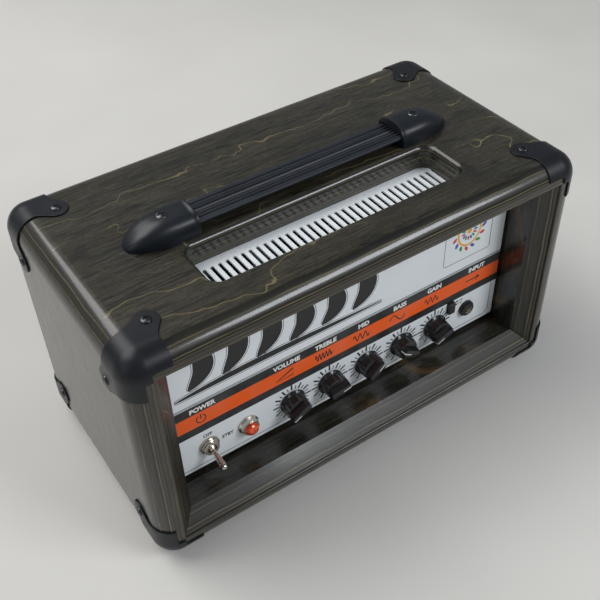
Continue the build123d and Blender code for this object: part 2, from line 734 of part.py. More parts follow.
knob_back = face_front - knob_gap
for name, x, angle in zip(knob_names, knob_x, knob_angle):
    with BuildPart() as shaft:
        with BuildSketch(turning(x, ctrl_z)):
            with BuildLine():
                Polyline(
                    (-face_t - sheet - 6.0, 0), (-face_t - sheet - 6.0, 3.7),
                    (-face_t - sheet - 2.6, 3.7), (-face_t - sheet - 2.6, shaft_r),
                    (12.0, shaft_r), (12.0, 0), close=True)
            make_face()
        revolve(axis=turning_axis(x, ctrl_z))
    save(shaft.part, f"shaft_{name}")

    with BuildPart() as knob:
        with BuildSketch(turning(x, ctrl_z, knob_back)):
            with BuildLine():
                Polyline(
                    (0.0, 0), (0.0, knob_skirt_r), (0.9, knob_skirt_r), (knob_skirt_t, 9.6),
                    (knob_skirt_t + 1.4, 8.3), (knob_skirt_t + 5.6, 7.3), (knob_skirt_t + 6.4, 6.6),
                    (knob_skirt_t + 6.4, 0), close=True)
            make_face()
        revolve(axis=turning_axis(x, ctrl_z))
        # bar-shaped grip, its long end on the pointer side
        pointer = Plane(
            origin=(x, knob_back - knob_skirt_t, ctrl_z), z_dir=(0, -1, 0),
            x_dir=(sin(radians(angle)), 0, cos(radians(angle))))
        with BuildSketch(pointer):
            with Locations((0.4, 0)):
                RectangleRounded(18.6, knob_bar_w, 1.6)
        extrude(amount=knob_len - knob_skirt_t)
        # hollow for the nut and the bore for the shaft
        with BuildSketch(at_y(knob_back)):
            with Locations((x, ctrl_z)):
                Circle(7.2)
        extrude(amount=3.2, mode=Mode.SUBTRACT)
        with BuildSketch(at_y(knob_back)):
            with Locations((x, ctrl_z)):
                Circle(shaft_r)
        extrude(amount=12.0 - knob_gap, mode=Mode.SUBTRACT)
    save(knob.part, f"knob_{name}")

# ================================================================ push switch
with BuildPart() as push_cap:
    with BuildSketch(at_y(face_back + 6.0)):
        with Locations((push_x, push_z)):
            RectangleRounded(push_w, push_h, 0.9)
    extrude(amount=face_t + 6.0 + push_out)
    fillet(push_cap.faces().sort_by(Axis.Y)[0].edges(), radius=0.6)
save(push_cap.part, "push_cap")

push_travel = 2.0
with BuildPart() as push_body:
    with Locations((push_x, tray_front, push_z)):
        Box(9.6, 14.0, 15.0, align=(Align.CENTER, Align.MIN, Align.CENTER))
    with BuildSketch(at_y(face_back + 6.0 + push_travel + 0.5)):
        with Locations((push_x, push_z)):
            Rectangle(push_w + 2 * push_clear, push_h + 2 * push_clear)
    extrude(amount=30.0, mode=Mode.SUBTRACT)
save(push_body.part, "push_body")

# ================================================================ input jack
with BuildPart() as jack_body:
    with Locations((jack_x, tray_front, jack_z)):
        Box(15.0, jack_depth, 17.0, align=(Align.CENTER, Align.MIN, Align.CENTER))
    with BuildSketch(at_y(tray_front + 1.0)):
        with Locations((jack_x, jack_z)):
            Circle(bush_r)
    extrude(amount=tray_front + 1.0 - face_front + 2.2)
    with BuildSketch(at_y(tray_front + jack_depth - 2.0)):
        with Locations((jack_x, jack_z)):
            Circle(jack_bore_r)
    extrude(amount=60.0, mode=Mode.SUBTRACT)
save(jack_body.part, "jack_body")

with BuildPart() as jack_nut:
    with BuildSketch(at_y(face_front)):
        with Locations((jack_x, jack_z)):
            Circle(jack_ring_r)
            Circle(bush_r + 0.02, mode=Mode.SUBTRACT)
    extrude(amount=2.2)
    with BuildSketch(at_y(face_front - 2.2)):
        with Locations((jack_x, jack_z)):
            RegularPolygon(6.2, 12)
            Circle(jack_bore_r + 0.4, mode=Mode.SUBTRACT)
    extrude(amount=1.4)
save(jack_nut.part, "jack_nut")

# ================================================================ boards, valve, power parts
board_z = chassis_bottom + sheet + 34.0
with BuildPart() as preamp_board:
    with Locations((0, -14.0, board_z)):
        Box(200.0, 56.0, board_t)
    for x in (-90.0, 92.0):
        for y in (-30.0, 6.0):
            with Locations((x, y, chassis_bottom + sheet)):
                Cylinder(
                    3.0, board_z - board_t / 2 - chassis_bottom - sheet,
                    align=(Align.CENTER, Align.CENTER, Align.MIN))
    with Locations((valve_x, valve_y, board_z + board_t / 2)):
        Cylinder(11.0, 7.0, align=(Align.CENTER, Align.CENTER, Align.MIN))
    for k in range(9):
        with Locations((-84.0 + 17 * k, -24.0, board_z + board_t / 2)):
            Cylinder(4.0, 11.0, align=(Align.CENTER, Align.CENTER, Align.MIN))
save(preamp_board.part, "preamp_board")

with BuildPart() as preamp_valve:
    with BuildSketch(at_y(valve_y)):
        with BuildLine():
            x0 = valve_x
            z0 = board_z + board_t / 2 + 7.0
            Polyline((x0, z0), (x0 + 10.0, z0), (x0 + 10.6, z0 + 3.0), (x0 + 10.6, z0 + 40.0))
            Spline(
                (x0 + 10.6, z0 + 40.0), (x0 + 6.0, z0 + 47.0), (x0 + 1.4, z0 + 50.0), (x0, z0 + 54.0),
                tangents=((0, 1), (-1, 0.2)))
            Line((x0, z0 + 54.0), (x0, z0))
        make_face()
    revolve(axis=Axis((valve_x, valve_y, 0), (0, 0, 1)))
save(preamp_valve.part, "preamp_valve")

power_y = 36.0
power_z = chassis_bottom + sheet + 8.0
with BuildPart() as power_board:
    with Locations((65.0, power_y, power_z)):
        Box(150.0, 46.0, board_t)
    for x in (-4.0, 134.0):
        for y in (-17.0, 17.0):
            with Locations((x, power_y + y, chassis_bottom + sheet)):
                Cylinder(
                    3.0, power_z - board_t / 2 - chassis_bottom - sheet,
                    align=(Align.CENTER, Align.CENTER, Align.MIN))
    for k in range(3):
        with Locations((80.0 + 22 * k, power_y, power_z + board_t / 2)):
            Cylinder(9.0, 22.0, align=(Align.CENTER, Align.CENTER, Align.MIN))
save(power_board.part, "power_board")

with BuildPart() as heat_sink:
    with Locations((30.0, power_y, power_z + board_t / 2)):
        Box(60.0, 36.0, 5.0, align=(Align.CENTER, Align.CENTER, Align.MIN))
    for k in range(9):
        with Locations((30.0, power_y - 16.5 + 4.125 * k, power_z + board_t / 2 + 5.0)):
            Box(60.0, 1.5, 22.0, align=(Align.CENTER, Align.CENTER, Align.MIN))
save(heat_sink.part, "heat_sink")

with BuildPart() as transformer:
    with Locations((-80.0, 42.0, chassis_bottom + sheet)):
        Cylinder(30.0, 28.0, align=(Align.CENTER, Align.CENTER, Align.MIN))
    fillet(transformer.edges().filter_by(GeomType.CIRCLE), radius=7.0)
    with Locations((-80.0, 42.0, chassis_bottom + sheet)):
        Cylinder(8.0, 60.0, mode=Mode.SUBTRACT)
save(transformer.part, "transformer")

# ================================================================ fan
fan_back = chassis_back - sheet
with BuildPart() as fan_frame:
    with BuildSketch(at_y(fan_back)):
        with Locations((fan_x, fan_z)):
            RectangleRounded(fan_size, fan_size, 4.0)
            Circle(fan_blade_r + 1.6, mode=Mode.SUBTRACT)
    extrude(amount=fan_depth)
    with BuildSketch(at_y(fan_back)):
        with Locations((fan_x, fan_z)):
            Circle(fan_hub_r)
            for k in range(3):
                a = radians(90.0 + 120.0 * k)
                with Locations((20.0 * cos(a), 20.0 * sin(a))):
                    Rectangle(20.0, 3.0, rotation=90.0 + 120.0 * k)
    extrude(amount=2.0)
    with BuildSketch(at_y(fan_back - 2.0)):
        with Locations((fan_x, fan_z)):
            Circle(2.0)
    extrude(amount=8.0)
save(fan_frame.part, "fan_frame")

with BuildPart() as fan_rotor:
    with BuildSketch(at_y(fan_back - 2.6)):
        with Locations((fan_x, fan_z)):
            Circle(fan_hub_r)
    extrude(amount=fan_depth - 3.4)
    with BuildSketch(at_y(fan_back - 2.5)):
        with Locations((fan_x, fan_z)):
            Circle(2.06)
    extrude(amount=8.0, mode=Mode.SUBTRACT)
    for k in range(fan_blades):
        a = radians(360.0 * k / fan_blades)
        pitch = radians(38.0)
        blade = Plane(
            origin=(fan_x + (fan_hub_r - 1) * cos(a), fan_back - 8.4, fan_z + (fan_hub_r - 1) * sin(a)),
            z_dir=(cos(a), 0, sin(a)),
            x_dir=(-sin(a) * sin(pitch), cos(pitch), cos(a) * sin(pitch)))
        with BuildSketch(blade):
            Rectangle(13.5, 1.4)
        extrude(amount=fan_blade_r - fan_hub_r)
save(fan_rotor.part, "fan_rotor")

# ================================================================ rear sockets
with BuildPart() as mains_inlet:
    with Locations((inlet_x, chassis_back, rear_z)):
        Box(48.0, 2.6, 28.0, align=(Align.CENTER, Align.MIN, Align.CENTER))
        Box(27.0, 22.0, 20.0, align=(Align.CENTER, Align.MAX, Align.CENTER))
    plate = mains_inlet.edges().filter_by(Axis.Y)
    fillet(plate.filter_by_position(Axis.Y, chassis_back, chassis_back + 2.6), radius=2.5)
    with Locations((inlet_x, chassis_back + 3.0, rear_z)):
        Box(24.0, 19.0, 16.5, align=(Align.CENTER, Align.MAX, Align.CENTER), mode=Mode.SUBTRACT)
    for dx, dz in ((-7.0, -2.0), (0.0, 2.0), (7.0, -2.0)):
        with Locations((inlet_x + dx, chassis_back - 16.5, rear_z + dz)):
            Box(2.0, 12.0, 4.0, align=(Align.CENTER, Align.MIN, Align.CENTER))
save(mains_inlet.part, "mains_inlet")

with BuildPart() as speaker_sockets:
    for x in speaker_x:
        with Locations((x, chassis_back, rear_z)):
            Box(26.0, 2.4, 31.0, align=(Align.CENTER, Align.MIN, Align.CENTER))
        with BuildSketch(at_y(chassis_back + 4.0)):
            with Locations((x, rear_z)):
                Circle(11.8)
        extrude(amount=28.0)
        with BuildSketch(at_y(chassis_back + 6.0)):
            with Locations((x, rear_z)):
                Circle(9.6)
                Circle(6.4, mode=Mode.SUBTRACT)
        extrude(amount=24.0, mode=Mode.SUBTRACT)
save(speaker_sockets.part, "speaker_sockets")

with BuildPart() as rear_jacks:
    for x in rear_jack_x:
        with Locations((x, chassis_back - sheet, rear_z)):
            Box(15.0, jack_depth, 17.0, align=(Align.CENTER, Align.MAX, Align.CENTER))
        with BuildSketch(at_y(chassis_back + 2.6)):
            with Locations((x, rear_z)):
                Circle(bush_r)
        extrude(amount=5.0)
        with BuildSketch(at_y(chassis_back + 2.4)):
            with Locations((x, rear_z)):
                Circle(jack_ring_r)
        extrude(amount=2.4)
        with BuildSketch(at_y(chassis_back + 4.0)):
            with Locations((x, rear_z)):
                Circle(jack_bore_r)
        extrude(amount=4.0 + sheet + jack_depth - 2.0, mode=Mode.SUBTRACT)
save(rear_jacks.part, "rear_jacks")
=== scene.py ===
"""Amplifier head in a stained plywood shell: its finishes, printed panel, knobs, handle and stage.

Everything is in metres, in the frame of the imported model: +X right, +Y back, +Z up.
"""
import json
import math

import bmesh
import bpy
from mathutils import Matrix, Vector


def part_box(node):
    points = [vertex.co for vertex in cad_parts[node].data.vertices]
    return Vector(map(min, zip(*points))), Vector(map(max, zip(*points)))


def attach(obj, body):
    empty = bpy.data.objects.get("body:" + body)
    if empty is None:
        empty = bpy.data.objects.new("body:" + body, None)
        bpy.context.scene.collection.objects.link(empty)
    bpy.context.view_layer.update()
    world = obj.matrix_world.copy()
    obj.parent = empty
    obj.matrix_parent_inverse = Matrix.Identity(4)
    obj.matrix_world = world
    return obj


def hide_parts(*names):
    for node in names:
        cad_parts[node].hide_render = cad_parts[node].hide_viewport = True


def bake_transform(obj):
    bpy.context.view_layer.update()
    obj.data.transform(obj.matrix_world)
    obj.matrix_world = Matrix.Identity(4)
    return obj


bl_info = {
    "name": "Amplifier Head",
    "version": (1, 0, 0),
    "blender": (4, 5, 0),
    "location": "3D View > Sidebar > Amp Head",
    "description": "Finishes and fine pieces of an amplifier head in a plywood shell",
    "category": "Object",
}

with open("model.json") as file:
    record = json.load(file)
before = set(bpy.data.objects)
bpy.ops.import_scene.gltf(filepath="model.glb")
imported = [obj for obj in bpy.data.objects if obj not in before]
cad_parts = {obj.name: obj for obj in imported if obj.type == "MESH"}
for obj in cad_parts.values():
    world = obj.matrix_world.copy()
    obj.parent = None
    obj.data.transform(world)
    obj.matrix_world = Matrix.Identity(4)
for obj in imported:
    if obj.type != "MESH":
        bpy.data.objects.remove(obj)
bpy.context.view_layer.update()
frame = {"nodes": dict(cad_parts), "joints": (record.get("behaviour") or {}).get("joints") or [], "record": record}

MM = 0.001
INK = 0.10 * MM
KNOBS = ("volume", "treble", "mid", "bass", "gain")
PANELS = ("panel_top", "panel_bottom", "panel_left", "panel_right")
LININGS = ("liner_bottom", "liner_left", "liner_right")
GUARDS = tuple(
    f"guard_{height}_{depth}_{side}"
    for height in ("top", "bottom") for depth in ("front", "back") for side in ("left", "right")
)


def joint_point(name):
    """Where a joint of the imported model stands."""
    for joint in frame["joints"]:
        if joint["name"] == name:
            return Vector(joint["pos_m"])
    raise RuntimeError(f"the model has no joint {name}")


def joint_range(name):
    """Lowest and highest angle of a joint, in degrees."""
    for joint in frame["joints"]:
        if joint["name"] == name:
            return joint["range_deg"]
    raise RuntimeError(f"the model has no joint {name}")


def mount_point(name):
    """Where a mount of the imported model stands."""
    for mount in frame["record"]["mounts"]:
        if mount["name"] == name:
            return Vector(mount["pos_m"])
    raise RuntimeError(f"the model has no mount {name}")


face_low, face_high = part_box("faceplate")
FACE_Y = face_low.y
FACE_Z = face_low.z
shell_low = Vector((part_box("panel_left")[0].x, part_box("panel_top")[0].y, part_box("panel_bottom")[0].z))
shell_high = Vector((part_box("panel_right")[1].x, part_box("panel_top")[1].y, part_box("panel_top")[1].z))


# ---------------------------------------------------------------- settings
def metres(name, description, default, low=0.0, high=1.0):
    return bpy.props.FloatProperty(
        name=name, description=description, default=default, min=low, max=high,
        precision=4, unit="LENGTH", subtype="DISTANCE")


def paint(name, description, default):
    return bpy.props.FloatVectorProperty(
        name=name, description=description, default=default, size=3, min=0.0, max=1.0, subtype="COLOR")


def share(name, description, default):
    return bpy.props.FloatProperty(
        name=name, description=description, default=default, min=0.0, max=1.0, subtype="FACTOR")


def tally(name, description, default, low=1, high=400):
    return bpy.props.IntProperty(name=name, description=description, default=default, min=low, max=high)


class AmpShellSettings(bpy.types.PropertyGroup):
    """Stain, varnish and corner colours of the shell."""

    dark: paint("Dark stain", "Colour of the open pores and dark plies", (0.0060, 0.0057, 0.0046))
    light: paint("Light stain", "Colour of the stained veneer between the pores", (0.039, 0.0365, 0.0265))
    figure: paint("Figure", "Colour of the growth lines and pale plies", (0.20, 0.165, 0.080))
    ply: metres("Board thickness", "Thickness of the plywood that its plies divide", 0.018, 0.004, 0.04)
    gloss: share("Varnish", "How much clear coat lies on the wood", 0.60)
    amber: share("Amber", "Strength of the warm patches on the linings", 0.8)
    guard: paint("Corner colour", "Colour of the corner protectors", (0.0085, 0.010, 0.0135))


class AmpPanelSettings(bpy.types.PropertyGroup):
    """Colours and heights of the printed control panel."""

    enamel: paint("Enamel", "Colour of the panel and the chassis cover", (0.76, 0.80, 0.83))
    stripe: paint("Stripe", "Colour of the wide printed stripe", (0.86, 0.105, 0.001))
    ink: paint("Ink", "Colour of the printed bands and marks", (0.012, 0.012, 0.013))
    band_low: metres("Lower band", "Height of the lower dark band above the panel's foot", 0.0369)
    stripe_low: metres("Stripe foot", "Height of the coloured stripe above the panel's foot", 0.0444)
    stripe_high: metres("Stripe head", "Height of the upper dark band above the panel's foot", 0.0577)
    band_high: metres("Upper band", "Top of the upper dark band above the panel's foot", 0.0659)
    letter: metres("Letter height", "Size of the control names", 0.0058, 0.002, 0.03)


class AmpControlSettings(bpy.types.PropertyGroup):
    """Knobs, lamp and metal trim."""

    ticks: tally("Dial marks", "Marks round each knob", 11, 3, 61)
    sweep: bpy.props.FloatProperty(
        name="Dial sweep", description="Angle between the first and the last mark",
        default=math.radians(300), min=0.5, max=6.2, subtype="ANGLE")
    flutes: tally("Flutes", "Scallops round the knob's skirt", 12, 3, 60)
    knob: paint("Knob", "Colour of the knobs", (0.009, 0.0095, 0.011))
    nickel: paint("Nickel", "Colour of the plated trim", (0.62, 0.58, 0.50))
    jewel: paint("Jewel", "Colour of the lamp's lens", (0.80, 0.055, 0.002))


class AmpHandleSettings(bpy.types.PropertyGroup):
    """Rubber strap and its end caps."""

    ribs: tally("Ribs", "Lengthwise ribs on the strap", 6, 1, 20)
    rib_height: metres("Rib height", "How far the ribs stand up", 0.0015, 0.0, 0.003)
    rubber: paint("Rubber", "Colour of the strap", (0.009, 0.0125, 0.019))
    cap: paint("Cap", "Colour of the end caps", (0.0075, 0.010, 0.0145))


class AmpStageSettings(bpy.types.PropertyGroup):
    """Floor, lights and camera."""

    floor: paint("Floor", "Colour of the floor", (0.60, 0.59, 0.565))
    lens: bpy.props.FloatProperty(
        name="Lens", description="Focal length for a 36 mm sensor", default=53.71, min=10, max=300,
        unit="CAMERA")
    window: bpy.props.FloatProperty(
        name="Window", description="Strength of the large side light", default=35.0, min=0.0, max=500.0,
        unit="POWER")
    room: bpy.props.FloatProperty(
        name="Room", description="Strength of the even light from all sides",
        default=0.27, min=0.0, max=10.0)


GROUPS = {
    "amp_shell": AmpShellSettings, "amp_panel": AmpPanelSettings, "amp_controls": AmpControlSettings,
    "amp_handle": AmpHandleSettings, "amp_stage": AmpStageSettings,
}


# ---------------------------------------------------------------- finishes
class Finish:
    """A material with one shader, and short calls for the nodes of its pattern."""

    def __init__(self, name, color, roughness, **fixed):
        self.material = bpy.data.materials.new(name)
        self.material.use_nodes = True
        self.tree = self.material.node_tree
        self.tree.nodes.clear()
        self.shader = self.tree.nodes.new("ShaderNodeBsdfPrincipled")
        output = self.tree.nodes.new("ShaderNodeOutputMaterial")
        self.tree.links.new(self.shader.outputs[0], output.inputs[0])
        self.object = self.tree.nodes.new("ShaderNodeTexCoord").outputs["Object"]
        self.set(Base_Color=color, Roughness=roughness, **fixed)

    def set(self, **values):
        """Give sockets of the shader a fixed value or a node's output."""
        for name, value in values.items():
            self.put(self.shader.inputs[name.replace("_", " ")], value)
        return self

    def put(self, socket, value):
        if isinstance(value, bpy.types.NodeSocket):
            self.tree.links.new(value, socket)
        elif socket.type == "RGBA":
            socket.default_value = (*tuple(value)[:3], 1.0)
        else:
            socket.default_value = value

    def math(self, operation, a, b=0.0, clamp=False):
        node = self.tree.nodes.new("ShaderNodeMath")
        node.operation = operation
        node.use_clamp = clamp
        self.put(node.inputs[0], a)
        self.put(node.inputs[1], b)
        return node.outputs[0]

    def stretch(self, scale, offset=(0, 0, 0), turn=(0, 0, 0)):
        """Object coordinates, scaled for grain and shifted so that no two boards look alike."""
        node = self.tree.nodes.new("ShaderNodeMapping")
        self.put(node.inputs["Vector"], self.object)
        node.inputs["Scale"].default_value = scale
        node.inputs["Location"].default_value = offset
        node.inputs["Rotation"].default_value = turn
        return node.outputs[0]

    def noise(self, vector, scale, detail=3.0, roughness=0.5, distortion=0.0):
        node = self.tree.nodes.new("ShaderNodeTexNoise")
        self.put(node.inputs["Vector"], vector)
        for name, value in (
                ("Scale", scale), ("Detail", detail), ("Roughness", roughness), ("Distortion", distortion)):
            node.inputs[name].default_value = value
        return node.outputs["Fac"]

    def axis(self, index, vector=None):
        node = self.tree.nodes.new("ShaderNodeSeparateXYZ")
        self.put(node.inputs[0], vector or self.object)
        return node.outputs[index]

    def span(self, value, low, high, to_low=0.0, to_high=1.0, smooth=False):
        node = self.tree.nodes.new("ShaderNodeMapRange")
        node.interpolation_type = "SMOOTHSTEP" if smooth else "LINEAR"
        self.put(node.inputs["Value"], value)
        for name, number in (
                ("From Min", low), ("From Max", high), ("To Min", to_low), ("To Max", to_high)):
            node.inputs[name].default_value = number
        return node.outputs["Result"]

    def mix(self, amount, a, b, blend="MIX"):
        node = self.tree.nodes.new("ShaderNodeMix")
        node.data_type = "RGBA"
        node.blend_type = blend
        self.put(node.inputs[0], amount)
        self.put(node.inputs[6], a)
        self.put(node.inputs[7], b)
        return node.outputs[2]

    def steps(self, value, stops, interpolation="CONSTANT"):
        """Colour ramp from (place, colour) stops."""
        node = self.tree.nodes.new("ShaderNodeValToRGB")
        ramp = node.color_ramp
        ramp.interpolation = interpolation
        while len(ramp.elements) < len(stops):
            ramp.elements.new(1.0)
        for element, (place, color) in zip(ramp.elements, stops):
            element.position = place
            element.color = (*color[:3], 1.0)
        self.put(node.inputs[0], value)
        return node.outputs[0]

    def bump(self, height, distance, strength=1.0):
        node = self.tree.nodes.new("ShaderNodeBump")
        node.inputs["Distance"].default_value = distance
        node.inputs["Strength"].default_value = strength
        self.put(node.inputs["Height"], height)
        return self.set(Normal=node.outputs[0])


def shade(color, factor):
    return tuple(min(1.0, c * factor) for c in color[:3])


def board_finish(name, stack, face, inward, along, seed, settings, figure, warm):
    """Stained plywood: figured veneer on the face and stripes of plies where an edge is rounded.

    stack is the axis through the plies, face the board's outer face on it, inward the sign of
    the way in, and along the axis of the face grain. figure is the strength of the growth lines
    and warm that of amber patches.
    """
    wood = Finish(
        name, settings.light, 0.34,
        Coat_Weight=settings.gloss, Coat_Roughness=0.13, Specular_IOR_Level=0.25)
    shift = (seed * 1.7, seed * 2.3, seed * 0.9)
    across = 3 - stack - along

    def grain(lengthwise, sideways):
        scale = [sideways] * 3
        scale[along] = lengthwise
        return wood.stretch(scale, shift)

    streak = wood.noise(grain(38.0, 640.0), 1.0, 5.0, 0.70, 0.3)
    pores = wood.noise(grain(260.0, 1500.0), 1.0, 3.0, 0.75)
    cloud = wood.noise(grain(9.0, 17.0), 1.0, 5.0, 0.66, 0.8)
    # growth lines run with the grain and wander across it
    wander = wood.noise(grain(10.0, 15.0), 1.0, 3.0, 0.55, 0.5)
    jitter = wood.noise(grain(70.0, 60.0), 1.0, 2.0, 0.5)
    field = wood.math("MULTIPLY", wood.axis(across), 30.0)
    field = wood.math("ADD", field, wood.math("MULTIPLY", wander, 3.4))
    field = wood.math("ADD", field, wood.math("MULTIPLY", jitter, 0.22))
    level = wood.math("FRACT", field)
    near = wood.math("ABSOLUTE", wood.math("SUBTRACT", level, 0.5))
    line = wood.span(near, 0.006, 0.024, 1.0, 0.0, True)
    patch = wood.span(cloud, 0.44, 0.56, 0.05, 1.0, True)
    line = wood.math("MULTIPLY", wood.math("MULTIPLY", line, patch), 0.62 * figure)
    side = wood.span(level, 0.5, 0.9, 1.0, 0.0)
    veneer = wood.mix(wood.span(streak, 0.40, 0.62), settings.dark, settings.light)
    veneer = wood.mix(wood.span(cloud, 0.34, 0.50, 0.55, 0.0, True), veneer, shade(settings.dark, 1.3))
    veneer = wood.mix(wood.span(cloud, 0.52, 0.70, 0.0, 0.5, True), veneer, shade(settings.light, 1.4))
    veneer = wood.mix(wood.math("MULTIPLY", side, 0.12 * figure), veneer, shade(settings.figure, 0.5))
    veneer = wood.mix(wood.span(pores, 0.52, 0.62, 0.0, 0.8), veneer, shade(settings.dark, 0.6))
    veneer = wood.mix(line, veneer, settings.figure)
    # plies
    depth = wood.math("MULTIPLY", wood.math("SUBTRACT", wood.axis(stack), face), inward)
    ripple = wood.noise(wood.stretch((30.0, 30.0, 30.0), shift), 1.0, 2.0, 0.5)
    depth = wood.math("ADD", depth, wood.span(ripple, 0.3, 0.7, -0.3 * MM, 0.3 * MM))
    black = shade(settings.dark, 0.35)
    gold = shade(settings.figure, 0.75)
    brown = shade(settings.light, 0.9)
    stripes = wood.steps(wood.math("DIVIDE", depth, settings.ply), (
        (0.00, brown), (0.05, black), (0.15, shade(brown, 0.5)), (0.165, gold), (0.195, shade(brown, 0.6)),
        (0.30, brown), (0.40, shade(brown, 0.8)), (0.43, black), (0.475, black), (0.485, gold),
        (0.52, gold), (0.535, black), (0.58, shade(brown, 0.7)), (0.60, shade(gold, 0.7)),
        (0.64, black), (0.70, brown), (0.76, shade(gold, 0.45)), (0.82, black), (0.88, shade(gold, 0.55)),
        (0.96, brown)), "LINEAR")
    stripes = wood.mix(wood.span(streak, 0.42, 0.62, 0.0, 0.6), stripes, shade(settings.dark, 0.8))
    stripes = wood.mix(wood.span(cloud, 0.35, 0.65, 0.0, 0.35), stripes, shade(settings.light, 0.7))
    amber = wood.math("MULTIPLY", wood.span(cloud, 0.55, 0.68, 0.0, 1.0, True), settings.amber * warm)
    veneer = wood.mix(amber, veneer, wood.mix(streak, shade(settings.figure, 0.3), (0.26, 0.12, 0.022)))
    inside = wood.span(depth, 0.5 * MM, 0.9 * MM)
    wood.set(Base_Color=wood.mix(inside, veneer, stripes))
    wood.set(Roughness=wood.span(streak, 0.3, 0.7, 0.26, 0.44))
    relief = wood.math("ADD", wood.math("MULTIPLY", streak, 0.7), wood.math("MULTIPLY", pores, 0.3))
    return wood.bump(relief, 0.10 * MM, 0.40)


def moulded(name, color, roughness, grain=0.02 * MM, cell=2600.0, vary=0.15, **fixed):
    """Moulded plastic, rubber or paint with a fine skin and slight wear in its gloss."""
    skin = Finish(name, color, roughness, **fixed)
    cloud = skin.noise(skin.object, 60.0, 4.0, 0.6)
    fine = skin.noise(skin.object, cell, 2.0, 0.5)
    pale = shade(color, 1.0 + vary)
    skin.set(Base_Color=skin.mix(skin.span(cloud, 0.3, 0.7), shade(color, 1.0 - vary), pale))
    skin.set(Roughness=skin.span(cloud, 0.3, 0.7, roughness * 0.86, min(1.0, roughness * 1.14)))
    return skin.bump(fine, grain, 0.6)


def plated(name, color, roughness, streak=(1.0, 1.0, 1.0), scale=900.0):
    """Plated or turned metal with fine tool marks."""
    metal = Finish(name, color, roughness, Metallic=1.0)
    marks = metal.noise(metal.stretch(streak), scale, 3.0, 0.6)
    cloud = metal.noise(metal.object, 120.0, 3.0, 0.6)
    metal.set(Base_Color=metal.mix(metal.span(cloud, 0.3, 0.7), shade(color, 0.84), shade(color, 1.08)))
    metal.set(Roughness=metal.span(marks, 0.3, 0.7, roughness * 0.7, roughness * 1.35))
    return metal.bump(marks, 0.01 * MM, 0.4)


def printed_ink(name, color):
    """Screen-printed ink, a little uneven."""
    ink = Finish(name, color, 0.42)
    cloud = ink.noise(ink.object, 420.0, 3.0, 0.6)
    return ink.set(Base_Color=ink.mix(ink.span(cloud, 0.3, 0.7), shade(color, 0.9), shade(color, 1.1)))


def wear(node, finish):
    """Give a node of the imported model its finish."""
    target = frame["nodes"][node]
    if not target.material_slots:
        target.data.materials.append(finish.material)
    for slot in target.material_slots:
        slot.material = finish.material


# ---------------------------------------------------------------- shapes
def finished(name, shape, finish, body, replaces=(), sharp=35.0):
    """Turn a bmesh into a piece that rides on a body."""
    bmesh.ops.remove_doubles(shape, verts=shape.verts, dist=1e-7)
    bmesh.ops.recalc_face_normals(shape, faces=shape.faces)
    mesh = bpy.data.meshes.new(name)
    shape.to_mesh(mesh)
    shape.free()
    return placed(name, mesh, finish, body, replaces, sharp)


def placed(name, mesh, finish, body, replaces=(), sharp=35.0):
    mesh.materials.clear()
    mesh.materials.append(finish.material)
    mesh.shade_smooth()
    mesh.set_sharp_from_angle(angle=math.radians(sharp))
    piece = bpy.data.objects.new(name, mesh)
    bpy.context.scene.collection.objects.link(piece)
    if body:
        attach(piece, body)
    if replaces:
        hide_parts(*replaces)
    return piece


def lathe(shape, profile, segments=48, place=Matrix.Identity(4), ripple=None):
    """Turn (radius, height) points about the local Z axis; ripple(angle, row) scales a radius."""
    rings = []
    for row, (radius, height) in enumerate(profile):
        if radius == 0:
            rings.append([shape.verts.new(place @ Vector((0, 0, height)))])
            continue
        ring = []
        for k in range(segments):
            angle = 2 * math.pi * k / segments
            reach = radius * (ripple(angle, row) if ripple else 1.0)
            spot = Vector((reach * math.cos(angle), reach * math.sin(angle), height))
            ring.append(shape.verts.new(place @ spot))
        rings.append(ring)
    for low, high in zip(rings, rings[1:]):
        for k in range(segments):
            n = (k + 1) % segments
            corners = [low[k % len(low)], low[n % len(low)], high[n % len(high)], high[k % len(high)]]
            unique = list(dict.fromkeys(corners))
            if len(unique) > 2:
                shape.faces.new(unique)


def facing(x, z, y=FACE_Y, angle=0.0):
    """Local frame on the panel: Z out of the panel, X towards the clock angle, clockwise from twelve."""
    out = Vector((0, -1, 0))
    pointer = Vector((math.sin(angle), 0, math.cos(angle)))
    side = out.cross(pointer)
    turn = Matrix((pointer, side, out)).transposed().to_4x4()
    return Matrix.Translation((x, y, z)) @ turn


def stroke(shape, points, width, closed=False, lift=INK, y=FACE_Y):
    """A printed line on the panel through (x, z) points; width is a number or one for each point."""
    count = len(points)
    widths = width if isinstance(width, (list, tuple)) else [width] * count
    rows = []
    for i, (x, z) in enumerate(points):
        before = points[i - 1] if closed or i else points[i]
        after = points[(i + 1) % count] if closed or i < count - 1 else points[i]
        way = Vector((after[0] - before[0], after[1] - before[1])).normalized()
        first = Vector((x - before[0], z - before[1]))
        bend = max(0.5, abs(way.dot(first.normalized()))) if first.length > 1e-9 else 1.0
        half = widths[i] / 2 / bend
        side = Vector((-way.y, way.x)) * half
        rows.append([
            shape.verts.new((x + s * side.x, y - h, z + s * side.y)) for s in (1, -1) for h in (lift, 0.0)])
    last = count if closed else count - 1
    for i in range(last):
        a, b = rows[i], rows[(i + 1) % count]
        for p, q in ((0, 2), (2, 3), (3, 1), (1, 0)):
            shape.faces.new((a[p], a[q], b[q], b[p]))
    if not closed:
        shape.faces.new((rows[0][0], rows[0][1], rows[0][3], rows[0][2]))
        shape.faces.new((rows[-1][2], rows[-1][3], rows[-1][1], rows[-1][0]))


